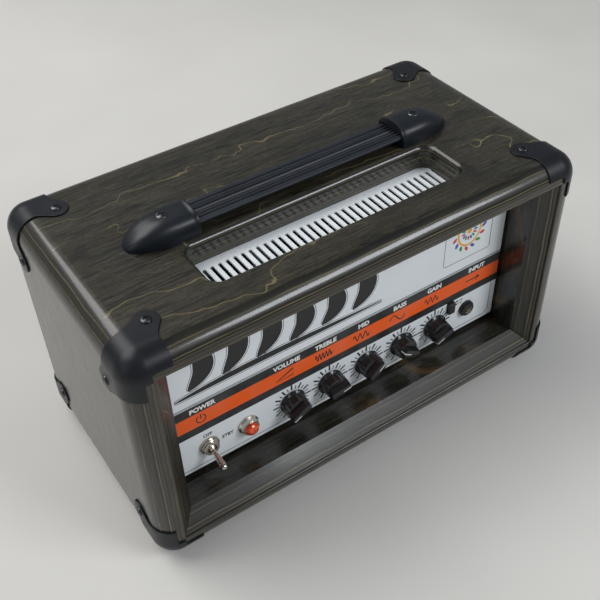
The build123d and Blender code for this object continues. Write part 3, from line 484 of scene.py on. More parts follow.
def disc(shape, x, z, radius, lift=INK, y=FACE_Y, squeeze=1.0, turn=0.0, sides=28):
    """A printed dot or petal."""
    front, back = [], []
    for k in range(sides):
        a = 2 * math.pi * k / sides
        u, v = radius * math.cos(a), radius * squeeze * math.sin(a)
        px = x + u * math.cos(turn) - v * math.sin(turn)
        pz = z + u * math.sin(turn) + v * math.cos(turn)
        front.append(shape.verts.new((px, y - lift, pz)))
        back.append(shape.verts.new((px, y, pz)))
    shape.faces.new(front)
    shape.faces.new(back[::-1])
    for k in range(sides):
        n = (k + 1) % sides
        shape.faces.new((front[k], back[k], back[n], front[n]))


def lettering(word, x, z, size, slant=0.0, weight=0.0, y=FACE_Y):
    """Mesh of a word that lies on the panel, centred at x with its foot at z."""
    curve = bpy.data.curves.new(f"word_{word}", "FONT")
    curve.body = word
    curve.size = size
    curve.shear = slant
    curve.offset = weight
    curve.extrude = INK / 2
    curve.resolution_u = 3
    curve.align_x = "CENTER"
    holder = bpy.data.objects.new(f"word_{word}", curve)
    bpy.context.scene.collection.objects.link(holder)
    bpy.context.view_layer.update()
    mesh = bpy.data.meshes.new_from_object(holder.evaluated_get(bpy.context.evaluated_depsgraph_get()))
    bpy.data.objects.remove(holder)
    bpy.data.curves.remove(curve)
    mesh.transform(Matrix.Translation((x, y - INK / 2, z)) @ Matrix.Rotation(math.pi / 2, 4, "X"))
    return mesh


def words(name, entries, finish):
    """One piece from several words."""
    shape = bmesh.new()
    for entry in entries:
        mesh = lettering(*entry)
        shape.from_mesh(mesh)
        bpy.data.meshes.remove(mesh)
    return finished(name, shape, finish, "shell", sharp=30.0)


# ---------------------------------------------------------------- node trees
class Recipe:
    """A geometry node tree under construction, with short calls for its nodes."""

    def __init__(self, name, finish, inputs):
        self.tree = bpy.data.node_groups.new(name, "GeometryNodeTree")
        self.tree.interface.new_socket(name="Geometry", in_out="INPUT", socket_type="NodeSocketGeometry")
        self.tree.interface.new_socket(name="Geometry", in_out="OUTPUT", socket_type="NodeSocketGeometry")
        for label, kind, value in inputs:
            socket = self.tree.interface.new_socket(
                name=label, in_out="INPUT", socket_type=f"NodeSocket{kind}")
            socket.default_value = value
        self.entry = self.tree.nodes.new("NodeGroupInput")
        self.exit = self.tree.nodes.new("NodeGroupOutput")
        self.finish = finish

    def input(self, name):
        return self.entry.outputs[name]

    def node(self, kind, *values, **settings):
        node = self.tree.nodes.new(kind)
        for key, value in settings.items():
            setattr(node, key, value)
        sockets = [s for s in node.inputs if s.enabled]
        for socket, value in zip(sockets, values):
            if value is None:
                continue
            if isinstance(value, bpy.types.NodeSocket):
                self.tree.links.new(value, socket)
            else:
                socket.default_value = value
        return node

    def math(self, operation, a, b=0.0):
        return self.node("ShaderNodeMath", a, b, operation=operation).outputs[0]

    def vector(self, x=0.0, y=0.0, z=0.0):
        return self.node("ShaderNodeCombineXYZ", x, y, z).outputs[0]

    def end(self, geometry):
        """Real meshes with their material, as the last two nodes."""
        real = self.node("GeometryNodeRealizeInstances", geometry).outputs[0]
        dressed = self.node("GeometryNodeSetMaterial", real)
        dressed.inputs["Material"].default_value = self.finish.material
        self.tree.links.new(dressed.outputs[0], self.exit.inputs[0])
        return self


def grown(name, recipe, values, base=None):
    """Mesh that a recipe makes, with its named inputs set by identifier."""
    holder = bpy.data.objects.new(f"{name}_seed", base or bpy.data.meshes.new(f"{name}_seed"))
    bpy.context.scene.collection.objects.link(holder)
    modifier = holder.modifiers.new("Recipe", "NODES")
    modifier.node_group = recipe.tree
    for item in recipe.tree.interface.items_tree:
        if item.in_out == "INPUT" and item.name in values:
            modifier[item.identifier] = values[item.name]
    bpy.context.view_layer.update()
    mesh = bpy.data.meshes.new_from_object(holder.evaluated_get(bpy.context.evaluated_depsgraph_get()))
    holder.modifiers.clear()
    bpy.data.objects.remove(holder)
    if not mesh.polygons:
        raise RuntimeError(f"{name} came out empty")
    mesh.name = name
    return mesh


def ring_recipe(name, finish):
    """Small bars round a circle that faces the front, in the manner of dial marks or knurls."""
    recipe = Recipe(name, finish, (
        ("Centre", "Vector", (0.0, 0.0, 0.0)), ("Count", "Int", 11), ("Start", "Float", 0.0),
        ("Step", "Float", 0.5), ("Radius", "Float", 0.01), ("Bar", "Vector", (0.001, 0.001, 0.001))))
    index = recipe.node("GeometryNodeInputIndex").outputs[0]
    angle = recipe.math("ADD", recipe.math("MULTIPLY", index, recipe.input("Step")), recipe.input("Start"))
    x = recipe.math("MULTIPLY", recipe.math("SINE", angle), recipe.input("Radius"))
    z = recipe.math("MULTIPLY", recipe.math("COSINE", angle), recipe.input("Radius"))
    spot = recipe.node("ShaderNodeVectorMath", recipe.vector(x, 0.0, z), recipe.input("Centre"))
    dots = recipe.node("GeometryNodePoints", recipe.input("Count"), spot.outputs[0])
    bar = recipe.node("GeometryNodeMeshCube", recipe.input("Bar"))
    bars = recipe.tree.nodes.new("GeometryNodeInstanceOnPoints")
    recipe.tree.links.new(dots.outputs[0], bars.inputs["Points"])
    recipe.tree.links.new(bar.outputs[0], bars.inputs["Instance"])
    recipe.tree.links.new(recipe.vector(0.0, angle, 0.0), bars.inputs["Rotation"])
    return recipe.end(bars.outputs[0])


def screw_recipe(name, finish, head):
    """One screw head on each point of a mesh, standing along its stored direction."""
    recipe = Recipe(name, finish, (("Size", "Float", 1.0),))
    way = recipe.node("GeometryNodeInputNamedAttribute", data_type="FLOAT_VECTOR")
    way.inputs["Name"].default_value = "out"
    turn = recipe.tree.nodes.new("FunctionNodeAlignRotationToVector")
    turn.axis = "Z"
    recipe.tree.links.new(way.outputs[0], turn.inputs["Vector"])
    source = recipe.tree.nodes.new("GeometryNodeObjectInfo")
    source.inputs["Object"].default_value = head
    heads = recipe.tree.nodes.new("GeometryNodeInstanceOnPoints")
    for source_socket, target in (
            (recipe.input("Geometry"), "Points"), (source.outputs["Geometry"], "Instance"),
            (turn.outputs[0], "Rotation"), (recipe.input("Size"), "Scale")):
        recipe.tree.links.new(source_socket, heads.inputs[target])
    return recipe.end(heads.outputs[0])


def strap_recipe(finish):
    """A ribbed band: a superellipse section with a rippled top, swept along X."""
    recipe = Recipe("ribbed_band", finish, (
        ("Start", "Float", 0.0), ("End", "Float", 0.1), ("Level", "Float", 0.0), ("Width", "Float", 0.025),
        ("Thickness", "Float", 0.004), ("Ribs", "Int", 6), ("Rib Height", "Float", 0.0007),
        ("Ribbed Width", "Float", 0.018), ("Rows", "Int", 60)))
    low = recipe.vector(recipe.input("Start"), 0.0, recipe.input("Level"))
    high = recipe.vector(recipe.input("End"), 0.0, recipe.input("Level"))
    spine = recipe.node("GeometryNodeCurvePrimitiveLine", low, high, mode="POINTS")
    fine = recipe.tree.nodes.new("GeometryNodeResampleCurve")
    recipe.tree.links.new(spine.outputs[0], fine.inputs["Curve"])
    recipe.tree.links.new(recipe.input("Rows"), fine.inputs["Count"])
    ring = recipe.tree.nodes.new("GeometryNodeCurvePrimitiveCircle")
    ring.inputs["Resolution"].default_value = 260
    ring.inputs["Radius"].default_value = 1.0
    place = recipe.node("GeometryNodeInputPosition").outputs[0]
    parts = recipe.node("ShaderNodeSeparateXYZ", place)
    u, v = parts.outputs[0], parts.outputs[1]

    def squared(value, power):
        size = recipe.math("POWER", recipe.math("ABSOLUTE", value), power)
        return recipe.math("MULTIPLY", size, recipe.math("SIGN", value))

    half = recipe.math("MULTIPLY", recipe.input("Width"), 0.5)
    across = recipe.math("MULTIPLY", squared(u, 0.82), half)
    half_thick = recipe.math("MULTIPLY", recipe.input("Thickness"), 0.5)
    body = recipe.math("MULTIPLY", squared(v, 0.42), half_thick)
    pitch = recipe.math("DIVIDE", recipe.input("Ribbed Width"), recipe.input("Ribs"))
    phase = recipe.math("MULTIPLY", recipe.math("DIVIDE", across, pitch), 2 * math.pi)
    wave = recipe.math("MULTIPLY", recipe.math("COSINE", phase), -2.6)
    wave = recipe.math("MINIMUM", recipe.math("MAXIMUM", wave, -1.0), 1.0)
    ribbed_half = recipe.math("MULTIPLY", recipe.input("Ribbed Width"), 0.5)
    within = recipe.math("LESS_THAN", recipe.math("ABSOLUTE", across), ribbed_half)
    upper = recipe.math("LESS_THAN", v, 0.0)
    ripple = recipe.math("MULTIPLY", recipe.math("MULTIPLY", wave, within), upper)
    ripple = recipe.math("MULTIPLY", ripple, recipe.math("MULTIPLY", recipe.input("Rib Height"), 0.5))
    outline = recipe.node("GeometryNodeSetPosition", ring.outputs[0])
    recipe.tree.links.new(
        recipe.vector(across, recipe.math("SUBTRACT", body, ripple), 0.0), outline.inputs["Position"])
    band = recipe.tree.nodes.new("GeometryNodeCurveToMesh")
    recipe.tree.links.new(fine.outputs[0], band.inputs["Curve"])
    recipe.tree.links.new(outline.outputs[0], band.inputs["Profile Curve"])
    band.inputs["Fill Caps"].default_value = True
    return recipe.end(band.outputs[0])


# ---------------------------------------------------------------- operators
class Step:
    """What the operators share: they always finish, or raise."""

    bl_options = {"REGISTER"}

    def execute(self, context):
        self.make(context.scene)
        return {"FINISHED"}


class AMP_OT_stage(Step, bpy.types.Operator):
    """Make the floor, the soft lights and the camera"""

    bl_idname = "amp_head.stage"
    bl_label = "Stage"

    def make(self, scene):
        settings = scene.amp_stage
        shape = bmesh.new()
        reach = 6.0
        shape.faces.new([shape.verts.new((x, y, 0)) for x, y in (
            (-reach, -reach), (reach, -reach), (reach, reach), (-reach, reach))])
        mesh = bpy.data.meshes.new("floor")
        shape.to_mesh(mesh)
        shape.free()
        cloth = Finish("pale_floor", settings.floor, 0.92, Specular_IOR_Level=0.15)
        cloud = cloth.noise(cloth.object, 2.2, 3.0, 0.6)
        cloth.set(Base_Color=cloth.mix(
            cloth.span(cloud, 0.3, 0.7), shade(settings.floor, 0.93), shade(settings.floor, 1.06)))
        mesh.materials.append(cloth.material)
        floor = bpy.data.objects.new("floor", mesh)
        scene.collection.objects.link(floor)

        scene.view_settings.view_transform = "Standard"
        world = bpy.data.worlds.new("soft_room")
        scene.world = world
        world.use_nodes = True
        world.node_tree.nodes["Background"].inputs["Color"].default_value = (0.80, 0.83, 0.86, 1.0)
        world.node_tree.nodes["Background"].inputs["Strength"].default_value = settings.room
        centre = Vector((0.0, 0.0, 0.1))
        for name, place, part, size, tint in (
                ("sky_light", (-0.75, 0.85, 1.75), 1.0, (1.7, 1.3), (1.0, 0.99, 0.97)),
                ("front_window", (0.80, -1.30, 1.25), 0.50, (0.85, 0.50), (0.93, 0.96, 1.0)),
                ("left_window", (-1.75, -0.15, 0.85), 0.06, (0.9, 1.1), (0.97, 0.98, 1.0)),
        ):
            data = bpy.data.lights.new(name, "AREA")
            data.shape = "RECTANGLE"
            data.size, data.size_y = size
            data.energy = settings.window * part
            data.color = tint
            lamp = bpy.data.objects.new(name, data)
            lamp.location = place
            lamp.rotation_euler = (centre - Vector(place)).to_track_quat("-Z", "Y").to_euler()
            scene.collection.objects.link(lamp)

        data = bpy.data.cameras.new("camera")
        data.lens = settings.lens
        data.sensor_width = 36.0
        data.clip_start, data.clip_end = 0.01, 50.0
        camera = bpy.data.objects.new("camera", data)
        camera.location = (-0.28027, -0.43674, 0.56479)
        camera.rotation_euler = [math.radians(a) for a in (47.3265, 1.5693, -34.0947)]
        scene.collection.objects.link(camera)
        scene.camera = camera


class AMP_OT_shell(Step, bpy.types.Operator):
    """Stain and varnish the plywood panels and the lining boards"""

    bl_idname = "amp_head.shell"
    bl_label = "Plywood shell"

    def make(self, scene):
        settings = scene.amp_shell
        lining_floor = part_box("liner_bottom")[1].z
        lining_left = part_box("liner_left")[1].x
        lining_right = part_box("liner_right")[0].x
        boards = (
            ("panel_top", 2, shell_high.z, -1.0, 0, 1.0, 1.0, 0.0),
            ("panel_bottom", 2, shell_low.z, 1.0, 0, 5.0, 0.6, 0.0),
            ("panel_left", 0, shell_low.x, 1.0, 2, 9.0, 0.25, 0.0),
            ("panel_right", 0, shell_high.x, -1.0, 2, 13.0, 0.6, 0.0),
            ("liner_bottom", 2, lining_floor, -1.0, 0, 17.0, 0.25, 0.8),
            ("liner_left", 0, lining_left, -1.0, 2, 21.0, 0.25, 0.8),
            ("liner_right", 0, lining_right, 1.0, 2, 25.0, 0.25, 0.8),
        )
        for node, stack, face, inward, along, seed, figure, warm in boards:
            wear(node, board_finish(
                f"stained_{node}", stack, face, inward, along, seed, settings, figure, warm))


class AMP_OT_guards(Step, bpy.types.Operator):
    """Paint the corner protectors and drive their screws"""

    bl_idname = "amp_head.guards"
    bl_label = "Corner protectors"

    def make(self, scene):
        coat = moulded(
            "guard_coat", scene.amp_shell.guard, 0.36, 0.03 * MM, 1500.0, Specular_IOR_Level=0.30)
        for node in GUARDS:
            wear(node, coat)
        steel = plated("black_screw", (0.075, 0.078, 0.085), 0.34)
        head = cross_head("guard_screw_head", 3.6 * MM, 1.6 * MM, 2.0 * MM)
        screws = node_points("corner_screws", 16)
        recipe = screw_recipe("guard_screws", steel, head)
        mesh = grown("guard_screw_heads", recipe, {"Size": 1.0}, screws)
        placed("guard_screw_heads", mesh, steel, "shell", ("corner_screws",), 40.0)
        bpy.data.objects.remove(head)


def cross_head(name, radius, height, arm, rings=16, segments=48):
    """Dished pan head with a cross recess, its underside at the origin."""
    shape = bmesh.new()
    rows = []
    for i in range(rings + 1):
        reach = radius * i / rings
        row = []
        for k in range(segments if i else 1):
            a = 2 * math.pi * k / segments
            x, y = reach * math.cos(a), reach * math.sin(a)
            drop = 1.0 - math.sqrt(max(0.0, 1.0 - (reach / (radius * 1.02)) ** 2.6))
            z = height * (1.0 - 0.8 * drop)
            arms = min(abs(x), abs(y)) < radius * 0.13 and reach < arm
            if arms or reach < radius * 0.24:
                z -= height * 0.55
            row.append(shape.verts.new((x, y, z)))
        rows.append(row)
    skirt = [shape.verts.new((v.co.x, v.co.y, -0.2 * MM)) for v in rows[-1]]
    rows.append(skirt)
    for low, high in zip(rows, rows[1:]):
        for k in range(segments):
            n = (k + 1) % segments
            corners = [low[k % len(low)], high[k], high[n], low[n % len(low)]]
            shape.faces.new(list(dict.fromkeys(corners)))
    shape.faces.new(skirt[::-1])
    bmesh.ops.recalc_face_normals(shape, faces=shape.faces)
    mesh = bpy.data.meshes.new(name)
    shape.to_mesh(mesh)
    shape.free()
    head = bpy.data.objects.new(name, mesh)
    bpy.context.scene.collection.objects.link(head)
    return head


def node_points(node, expected):
    """A mesh with one vertex under each screw head of a node, and the way each head looks."""
    source = frame["nodes"][node].data
    shape = bmesh.new()
    shape.from_mesh(source)
    bmesh.ops.remove_doubles(shape, verts=shape.verts, dist=1e-6)
    unseen = set(shape.verts)
    found = []
    while unseen:
        stack = [unseen.pop()]
        island = []
        while stack:
            vert = stack.pop()
            island.append(vert.co.copy())
            for edge in vert.link_edges:
                other = edge.other_vert(vert)
                if other in unseen:
                    unseen.discard(other)
                    stack.append(other)
        low = Vector(min(c[i] for c in island) for i in range(3))
        high = Vector(max(c[i] for c in island) for i in range(3))
        mid = (low + high) / 2
        size = high - low
        axis = max(range(3), key=lambda i: size[i])
        if max(size) - sorted(size)[1] < 0.2 * MM:
            axis = min(range(3), key=lambda i: size[i])
        ends = {1: high[axis], -1: low[axis]}

        def spread(sign):
            rim = [c for c in island if abs(c[axis] - ends[sign]) < 0.9 * MM]
            return max(((c - mid) - Vector([(c - mid)[axis] if i == axis else 0 for i in range(3)])).length
                       for c in rim)

        sign = 1 if spread(1) > spread(-1) else -1
        out = Vector((0, 0, 0))
        out[axis] = sign
        base = mid.copy()
        base[axis] = ends[sign] - sign * HEAD_HEIGHT[node]
        found.append((base, out))
    shape.free()
    if len(found) != expected:
        raise RuntimeError(f"{node} has {len(found)} screws, not {expected}")
    found.sort(key=lambda f: tuple(round(c, 5) for c in f[0]))
    mesh = bpy.data.meshes.new(f"{node}_points")
    mesh.from_pydata([f[0] for f in found], [], [])
    attribute = mesh.attributes.new("out", "FLOAT_VECTOR", "POINT")
    for item, (_, out) in zip(attribute.data, found):
        item.vector = out
    return mesh


HEAD_HEIGHT = {"corner_screws": 1.6 * MM, "handle_screws": 2.0 * MM, "cover_screws": 0.9 * MM}


class AMP_OT_handle(Step, bpy.types.Operator):
    """Make the ribbed rubber strap, its caps and their screws"""

    bl_idname = "amp_head.handle"
    bl_label = "Strap handle"

    def make(self, scene):
        settings = scene.amp_handle
        cap = moulded("cap_plastic", settings.cap, 0.36, 0.03 * MM, 1400.0, Specular_IOR_Level=0.35)
        for node, side in (("handle_cap_left", -1.0), ("handle_cap_right", 1.0)):
            self.cap(node, side, cap)
        rubber = moulded("strap_rubber", settings.rubber, 0.46, 0.02 * MM, 1800.0)
        low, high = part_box("strap_left")
        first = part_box("strap_anchor")[0].x
        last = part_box("strap_tail")[1].x
        hinge = joint_point("strap_level").x
        seam = hinge / 2
        bend = 15.0 * MM
        recipe = strap_recipe(rubber)
        thick = high.z - low.z - settings.rib_height / 2
        for name, start, end, bodies, span, hides in (
                ("strap_front_end", first, -seam, ("shell", "strap_left"),
                 (-hinge - 3 * MM, -hinge + 2 * bend), ("strap_anchor", "strap_left")),
                ("strap_middle", -seam, seam, ("strap_left", "strap_right"), (-2 * bend, 2 * bend), ()),
                ("strap_far_end", seam, last, ("strap_right", "strap_tail"),
                 (hinge - 2 * bend, hinge + 3 * MM), ("strap_right", "strap_tail"))):
            mesh = grown(name, recipe, {
                "Start": start, "End": end, "Level": low.z + thick / 2, "Width": high.y - low.y,
                "Thickness": thick, "Ribs": settings.ribs,
                "Rib Height": settings.rib_height, "Ribbed Width": 0.74 * (high.y - low.y), "Rows": 50})
            piece = placed(name, mesh, rubber, None, hides, 32.0)
            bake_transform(piece)
        bright = plated("cap_screw_steel", (0.10, 0.103, 0.108), 0.34)
        head = cross_head("cap_screw_head", 4.1 * MM, 2.0 * MM, 3.0 * MM)
        recipe = screw_recipe("cap_screws", bright, head)
        mesh = grown("cap_screw_heads", recipe, {"Size": 1.0}, node_points("handle_screws", 2))
        placed("cap_screw_heads", mesh, bright, "shell", ("handle_screws",), 40.0)
        bpy.data.objects.remove(head)


    def cap(self, node, side, finish):
        """Spoon-shaped end cap with a soft lip and a pocket that takes the strap's end."""
        low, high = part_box(node)
        anchor_low, anchor_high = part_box("strap_anchor")
        start = low.x if side > 0 else -high.x
        long, half, tall = high.x - low.x, (high.y - low.y) / 2, high.z - low.z
        shoulder, crown, tip = 0.26 * long, 0.36 * long, 0.40
        arch, flat = 56, 20
        slot_level = (anchor_low.z + anchor_high.z) / 2 - low.z
        slot_half = (anchor_high.z - anchor_low.z) / 2 + 0.35 * MM
        slot_wide = (anchor_high.y - anchor_low.y) / 2 + 0.35 * MM
        pocket = -anchor_low.x - start + 2.0 * MM

        def soft(value, power):
            return math.copysign(abs(value) ** power, value)

        def section(u):
            """Outline of the cap at a distance from its inner end."""
            fall = min(1.0, max(0.0, (u - shoulder) / (long - shoulder)))
            drop = min(1.0, max(0.0, (u - crown) / (long - crown)))
            wide = half * math.sqrt(max(0.0, 1.0 - fall ** 2.3))
            rise = tall * (1.0 - (1.0 - tip) * drop ** 2) * math.sqrt(max(0.0, 1.0 - drop ** 5))
            rise *= 1.0 if u < 1.6 * MM else 0.972
            dome = [math.pi * k / arch for k in range(arch + 1)]
            points = [(wide * soft(math.cos(a), 0.72), rise * soft(math.sin(a), 0.66)) for a in dome]
            points += [(-wide + 2 * wide * k / flat, 0.0) for k in range(1, flat)]
            return points

        def slot():
            turns = [math.pi * k / arch for k in range(arch + 1)]
            turns += [math.pi + math.pi * k / flat for k in range(1, flat)]
            return [
                (slot_wide * soft(math.cos(a), 0.3), slot_level + slot_half * soft(math.sin(a), 0.3))
                for a in turns]

        shape = bmesh.new()
        lip = 2.1 * MM
        count = 40
        steps = [0.0, 0.4 * MM, 1.5 * MM, lip]
        for k in range(1, count + 1):
            steps.append(lip + (long * 0.9995 - lip) * math.sin(math.pi / 2 * k / count))
        rows = [(pocket, slot()), (0.3 * MM, slot())] + [(u, section(u)) for u in steps]
        rings = [
            [shape.verts.new((side * (start + u), y, low.z + z)) for y, z in outline]
            for u, outline in rows]
        for near, far in zip(rings, rings[1:]):
            for k in range(len(near)):
                n = (k + 1) % len(near)
                shape.faces.new((near[k], near[n], far[n], far[k]))
        shape.faces.new(rings[0])
        shape.faces.new(rings[-1][::-1])
        finished(f"{node}_moulding", shape, finish, "shell", (node,), 48.0)


class AMP_OT_chassis(Step, bpy.types.Operator):
    """Enamel the chassis, its slotted cover and the feet"""

    bl_idname = "amp_head.chassis"
    bl_label = "Chassis"

    def make(self, scene):
        enamel = scene.amp_panel.enamel
        coat = moulded(
            "white_powder", enamel, 0.36, 0.03 * MM, 900.0, 0.03, Coat_Weight=0.2, Coat_Roughness=0.2)
        for node in ("chassis_tray", "chassis_cover"):
            wear(node, coat)
        zinc = plated("zinc_screw", (0.55, 0.55, 0.54), 0.28)
        wear("cover_screws", zinc)
        wear("chassis_bolts", plated("black_bolt", (0.06, 0.06, 0.065), 0.38))
        wear("feet", moulded("foot_rubber", (0.02, 0.02, 0.021), 0.7, 0.05 * MM, 900.0))


class AMP_OT_panel(Step, bpy.types.Operator):
    """Enamel the control panel and print its bands, names, marks and ornament"""

    bl_idname = "amp_head.panel"
    bl_label = "Control panel"

    def make(self, scene):
        settings = scene.amp_panel
        height = face_high.z - face_low.z
        pin = 0.35 * MM
        face = Finish("printed_enamel", settings.enamel, 0.36, Specular_IOR_Level=0.22)
        rise = face.span(face.axis(2), FACE_Z, face_high.z)
        top = settings.band_high
        stops = [
            (0.0, settings.enamel), (settings.band_low / height, settings.ink),
            (settings.stripe_low / height, settings.stripe), (settings.stripe_high / height, settings.ink),
            (top / height, settings.enamel), ((top + 0.9 * MM) / height, settings.ink),
            ((top + 0.9 * MM + pin) / height, settings.enamel), ((top + 1.9 * MM) / height, settings.ink),
            ((top + 1.9 * MM + pin) / height, settings.enamel)]
        tone = face.noise(face.object, 45.0, 3.0, 0.55)
        bands = face.steps(rise, stops)
        grime = shade(settings.enamel, 0.55)
        face.set(Base_Color=face.mix(face.span(tone, 0.3, 0.7, 0.0, 0.10), bands, grime))
        face.set(Roughness=face.span(tone, 0.3, 0.7, 0.30, 0.42))
        face.bump(face.noise(face.object, 700.0, 2.0, 0.5), 0.01 * MM, 0.4)
        wear("faceplate", face)

        dark = printed_ink("dark_ink", settings.ink)
        white = printed_ink("white_ink", (0.80, 0.80, 0.78))
        places = {name: joint_point(f"{name}_turn").x for name in KNOBS}
        toggle = joint_point("power_toggle")
        jack = mount_point("input_jack")
        names = {"POWER": toggle.x - 3.0 * MM, "INPUT": jack.x + 5.0 * MM}
        names.update({name.upper(): x - 5.0 * MM for name, x in places.items()})
        foot = FACE_Z + (settings.stripe_high + settings.band_high) / 2 - 0.35 * settings.letter
        words("panel_names", [
            (word, x + 2.0 * MM, foot, settings.letter, 0.0, 0.24 * MM) for word, x in names.items()],
            white)
        words("switch_names", [
            ("OFF", toggle.x, toggle.z + 9.4 * MM, 4.2 * MM, 0.0, 0.10 * MM),
            ("STBY", toggle.x + 15.5 * MM, toggle.z - 0.8 * MM, 4.2 * MM, 0.0, 0.10 * MM),
            ("10 dB", 112.0 * MM, FACE_Z + 33.2 * MM, 2.2 * MM, 0.0, 0.0),
            ("0 dB", 112.0 * MM, FACE_Z + 30.2 * MM, 2.2 * MM, 0.0, 0.0)], dark)
        self.symbols(settings, names, dark)
        self.lines(scene, dark, places)
        self.scrolls(dark)
        self.rosette()

    def symbols(self, settings, names, ink):
        """Plain signs on the coloured stripe: on sign, wedge, three waves, zigzag and arrow."""
        shape = bmesh.new()
        level = FACE_Z + (settings.stripe_low + settings.stripe_high) / 2
        line = 0.8 * MM

        def wave(x, cycles, width, swing, corner=False):
            steps = cycles * (4 if corner else 20)
            points = []
            for k in range(steps + 1):
                t = 2 * math.pi * cycles * k / steps
                points.append((x - width / 2 + width * k / steps, level + swing * math.sin(t)))
            stroke(shape, points, line)

        x = names["POWER"]
        arc = [math.radians(120 + 300 * k / 24) for k in range(25)]
        stroke(shape, [(x + 3.6 * MM * math.cos(a), level + 3.6 * MM * math.sin(a)) for a in arc], line)
        stroke(shape, [(x, level), (x, level + 4.6 * MM)], line)
        x = names["VOLUME"]
        stroke(shape, [
            (x - 7 * MM, level - 3 * MM), (x + 7 * MM, level - 3 * MM),
            (x + 7 * MM, level + 3.6 * MM)], line, True)
        wave(names["TREBLE"], 5, 15 * MM, 3.0 * MM)
        wave(names["MID"], 3, 15 * MM, 3.0 * MM)
        wave(names["BASS"], 1, 15 * MM, 3.4 * MM)
        wave(names["GAIN"], 3, 14 * MM, 3.0 * MM, True)
        x = names["INPUT"]
        stroke(shape, [(x - 8 * MM, level), (x + 5 * MM, level)], 1.0 * MM)
        back, barb = x + 2.4 * MM, 2.6 * MM
        stroke(shape, [(back, level + barb), (x + 6 * MM, level), (back, level - barb)], line)
        finished("panel_signs", shape, ink, "shell")

    def lines(self, scene, ink, places):
        """Border line, push switch legend and the marks round the dials."""
        shape = bmesh.new()
        left, right = face_low.x + 1.5 * MM, face_high.x - 5.0 * MM
        foot, corner = FACE_Z + 3.3 * MM, 4.0 * MM
        band = FACE_Z + scene.amp_panel.band_low
        stroke(shape, [
            (left, foot), (right - corner, foot), (right, foot + corner), (right, band)], 0.4 * MM)
        frame_left, frame_foot = 89.5 * MM, FACE_Z + 78.2 * MM
        stroke(shape, [
            (frame_left, face_high.z - 6 * MM), (frame_left, frame_foot + 1.6 * MM),
            (frame_left + 1.6 * MM, frame_foot), (right - 10.6 * MM, frame_foot),
            (right - 9.0 * MM, frame_foot + 1.6 * MM), (right - 9.0 * MM, face_high.z - 6 * MM)], 0.35 * MM)
        legend = Vector((107.4 * MM, 0, FACE_Z + 31.0 * MM))
        for step in (0.0, 3.0 * MM):
            stroke(shape, [(legend.x, legend.z + step), (legend.x + 2.0 * MM, legend.z + step)], 1.5 * MM)
        finished("panel_lines", shape, ink, "shell")

        settings = scene.amp_controls
        recipe = ring_recipe("dial_marks", ink)
        shape = bmesh.new()
        step = settings.sweep / (settings.ticks - 1)
        for name, x in places.items():
            z = joint_point(f"{name}_turn").z
            for count, turn, radius, length, width in (
                    (settings.ticks, step, 14.1 * MM, 5.2 * MM, 1.4 * MM),
                    (settings.ticks - 1, step, 13.2 * MM, 3.2 * MM, 0.7 * MM)):
                start = -settings.sweep / 2 + (0.0 if count == settings.ticks else step / 2)
                mesh = grown("dial_marks", recipe, {
                    "Centre": (x, FACE_Y - INK / 2, z), "Count": count, "Start": start, "Step": turn,
                    "Radius": radius, "Bar": (width, INK, length)})
                shape.from_mesh(mesh)
                bpy.data.meshes.remove(mesh)
        finished("dial_marks", shape, ink, "shell")

    def scrolls(self, ink):
        """Six leaning blades over a long tapering line, each inside a thin keyline."""
        solid, keyline = bmesh.new(), bmesh.new()
        foot = FACE_Z + 77.5 * MM
        count, pitch = 6, 27.0 * MM
        steps = 40
        way_along = [i / steps for i in range(steps + 1)]
        blades = []
        for k in range(count):
            x = -131.0 * MM + pitch * k
            tall = (46.0 + 8.0 * math.sin(1.3 * k)) * MM
            blades.append([(
                x + 26.0 * MM * t + 5.0 * MM * math.sin(2 * math.pi * t), foot + 5.5 * MM + tall * t,
                (1.2 + 14.5 * math.sin(math.pi * t ** 0.7) ** 1.1) * MM) for t in way_along])
        blades.append([(
            (-142.0 + 172.0 * t) * MM, foot + 3.5 * MM * math.sin(math.pi * t) * (1 - t),
            (0.8 + 4.6 * math.sin(math.pi * t ** 0.7)) * MM) for t in way_along])
        for blade in blades:
            path = [(x, z) for x, z, _ in blade]
            stroke(solid, path, [w for _, _, w in blade])
            near, far = [], []
            for i, (x, z, width) in enumerate(blade):
                a, b = path[max(0, i - 1)], path[min(steps, i + 1)]
                way = Vector((b[0] - a[0], b[1] - a[1])).normalized()
                off = width / 2 + 1.1 * MM
                near.append((x - way.y * off, z + way.x * off))
                far.append((x + way.y * off, z - way.x * off))
            stroke(keyline, near + far[::-1], 0.4 * MM, True, lift=0.6 * INK)
        finished("panel_scroll", solid, ink, "shell")
        finished("panel_keyline", keyline, ink, "shell")

    def rosette(self):
        """A plain rosette in the framed corner."""
        x, z = 113.0 * MM, FACE_Z + 104.0 * MM
        rings = {
            "gold": ((0.80, 0.42, 0.03), "ring"), "leaf": ((0.03, 0.30, 0.08), "petals"),
            "rose": ((0.62, 0.05, 0.06), "petals"), "blue": ((0.04, 0.10, 0.42), "petals")}
        for order, (name, (color, kind)) in enumerate(rings.items()):
            shape = bmesh.new()
            if kind == "ring":
                circle = [2 * math.pi * k / 48 for k in range(48)]
                stroke(shape, [
                    (x + 11 * MM * math.cos(a), z + 13 * MM * math.sin(a)) for a in circle], 1.7 * MM, True)
                disc(shape, x, z, 2.2 * MM)
            else:
                for k in range(5):
                    a = 2 * math.pi * (k + order / 3.0) / 5
                    disc(shape, x + 14.6 * MM * math.cos(a), z + 16.4 * MM * math.sin(a), 2.5 * MM,
                         squeeze=0.55, turn=a + 0.6)
                    disc(shape, x + 6.0 * MM * math.cos(a), z + 6.6 * MM * math.sin(a), 1.9 * MM,
                         squeeze=0.5, turn=a)
            finished(f"rosette_{name}", shape, printed_ink(f"{name}_ink", color), "shell")


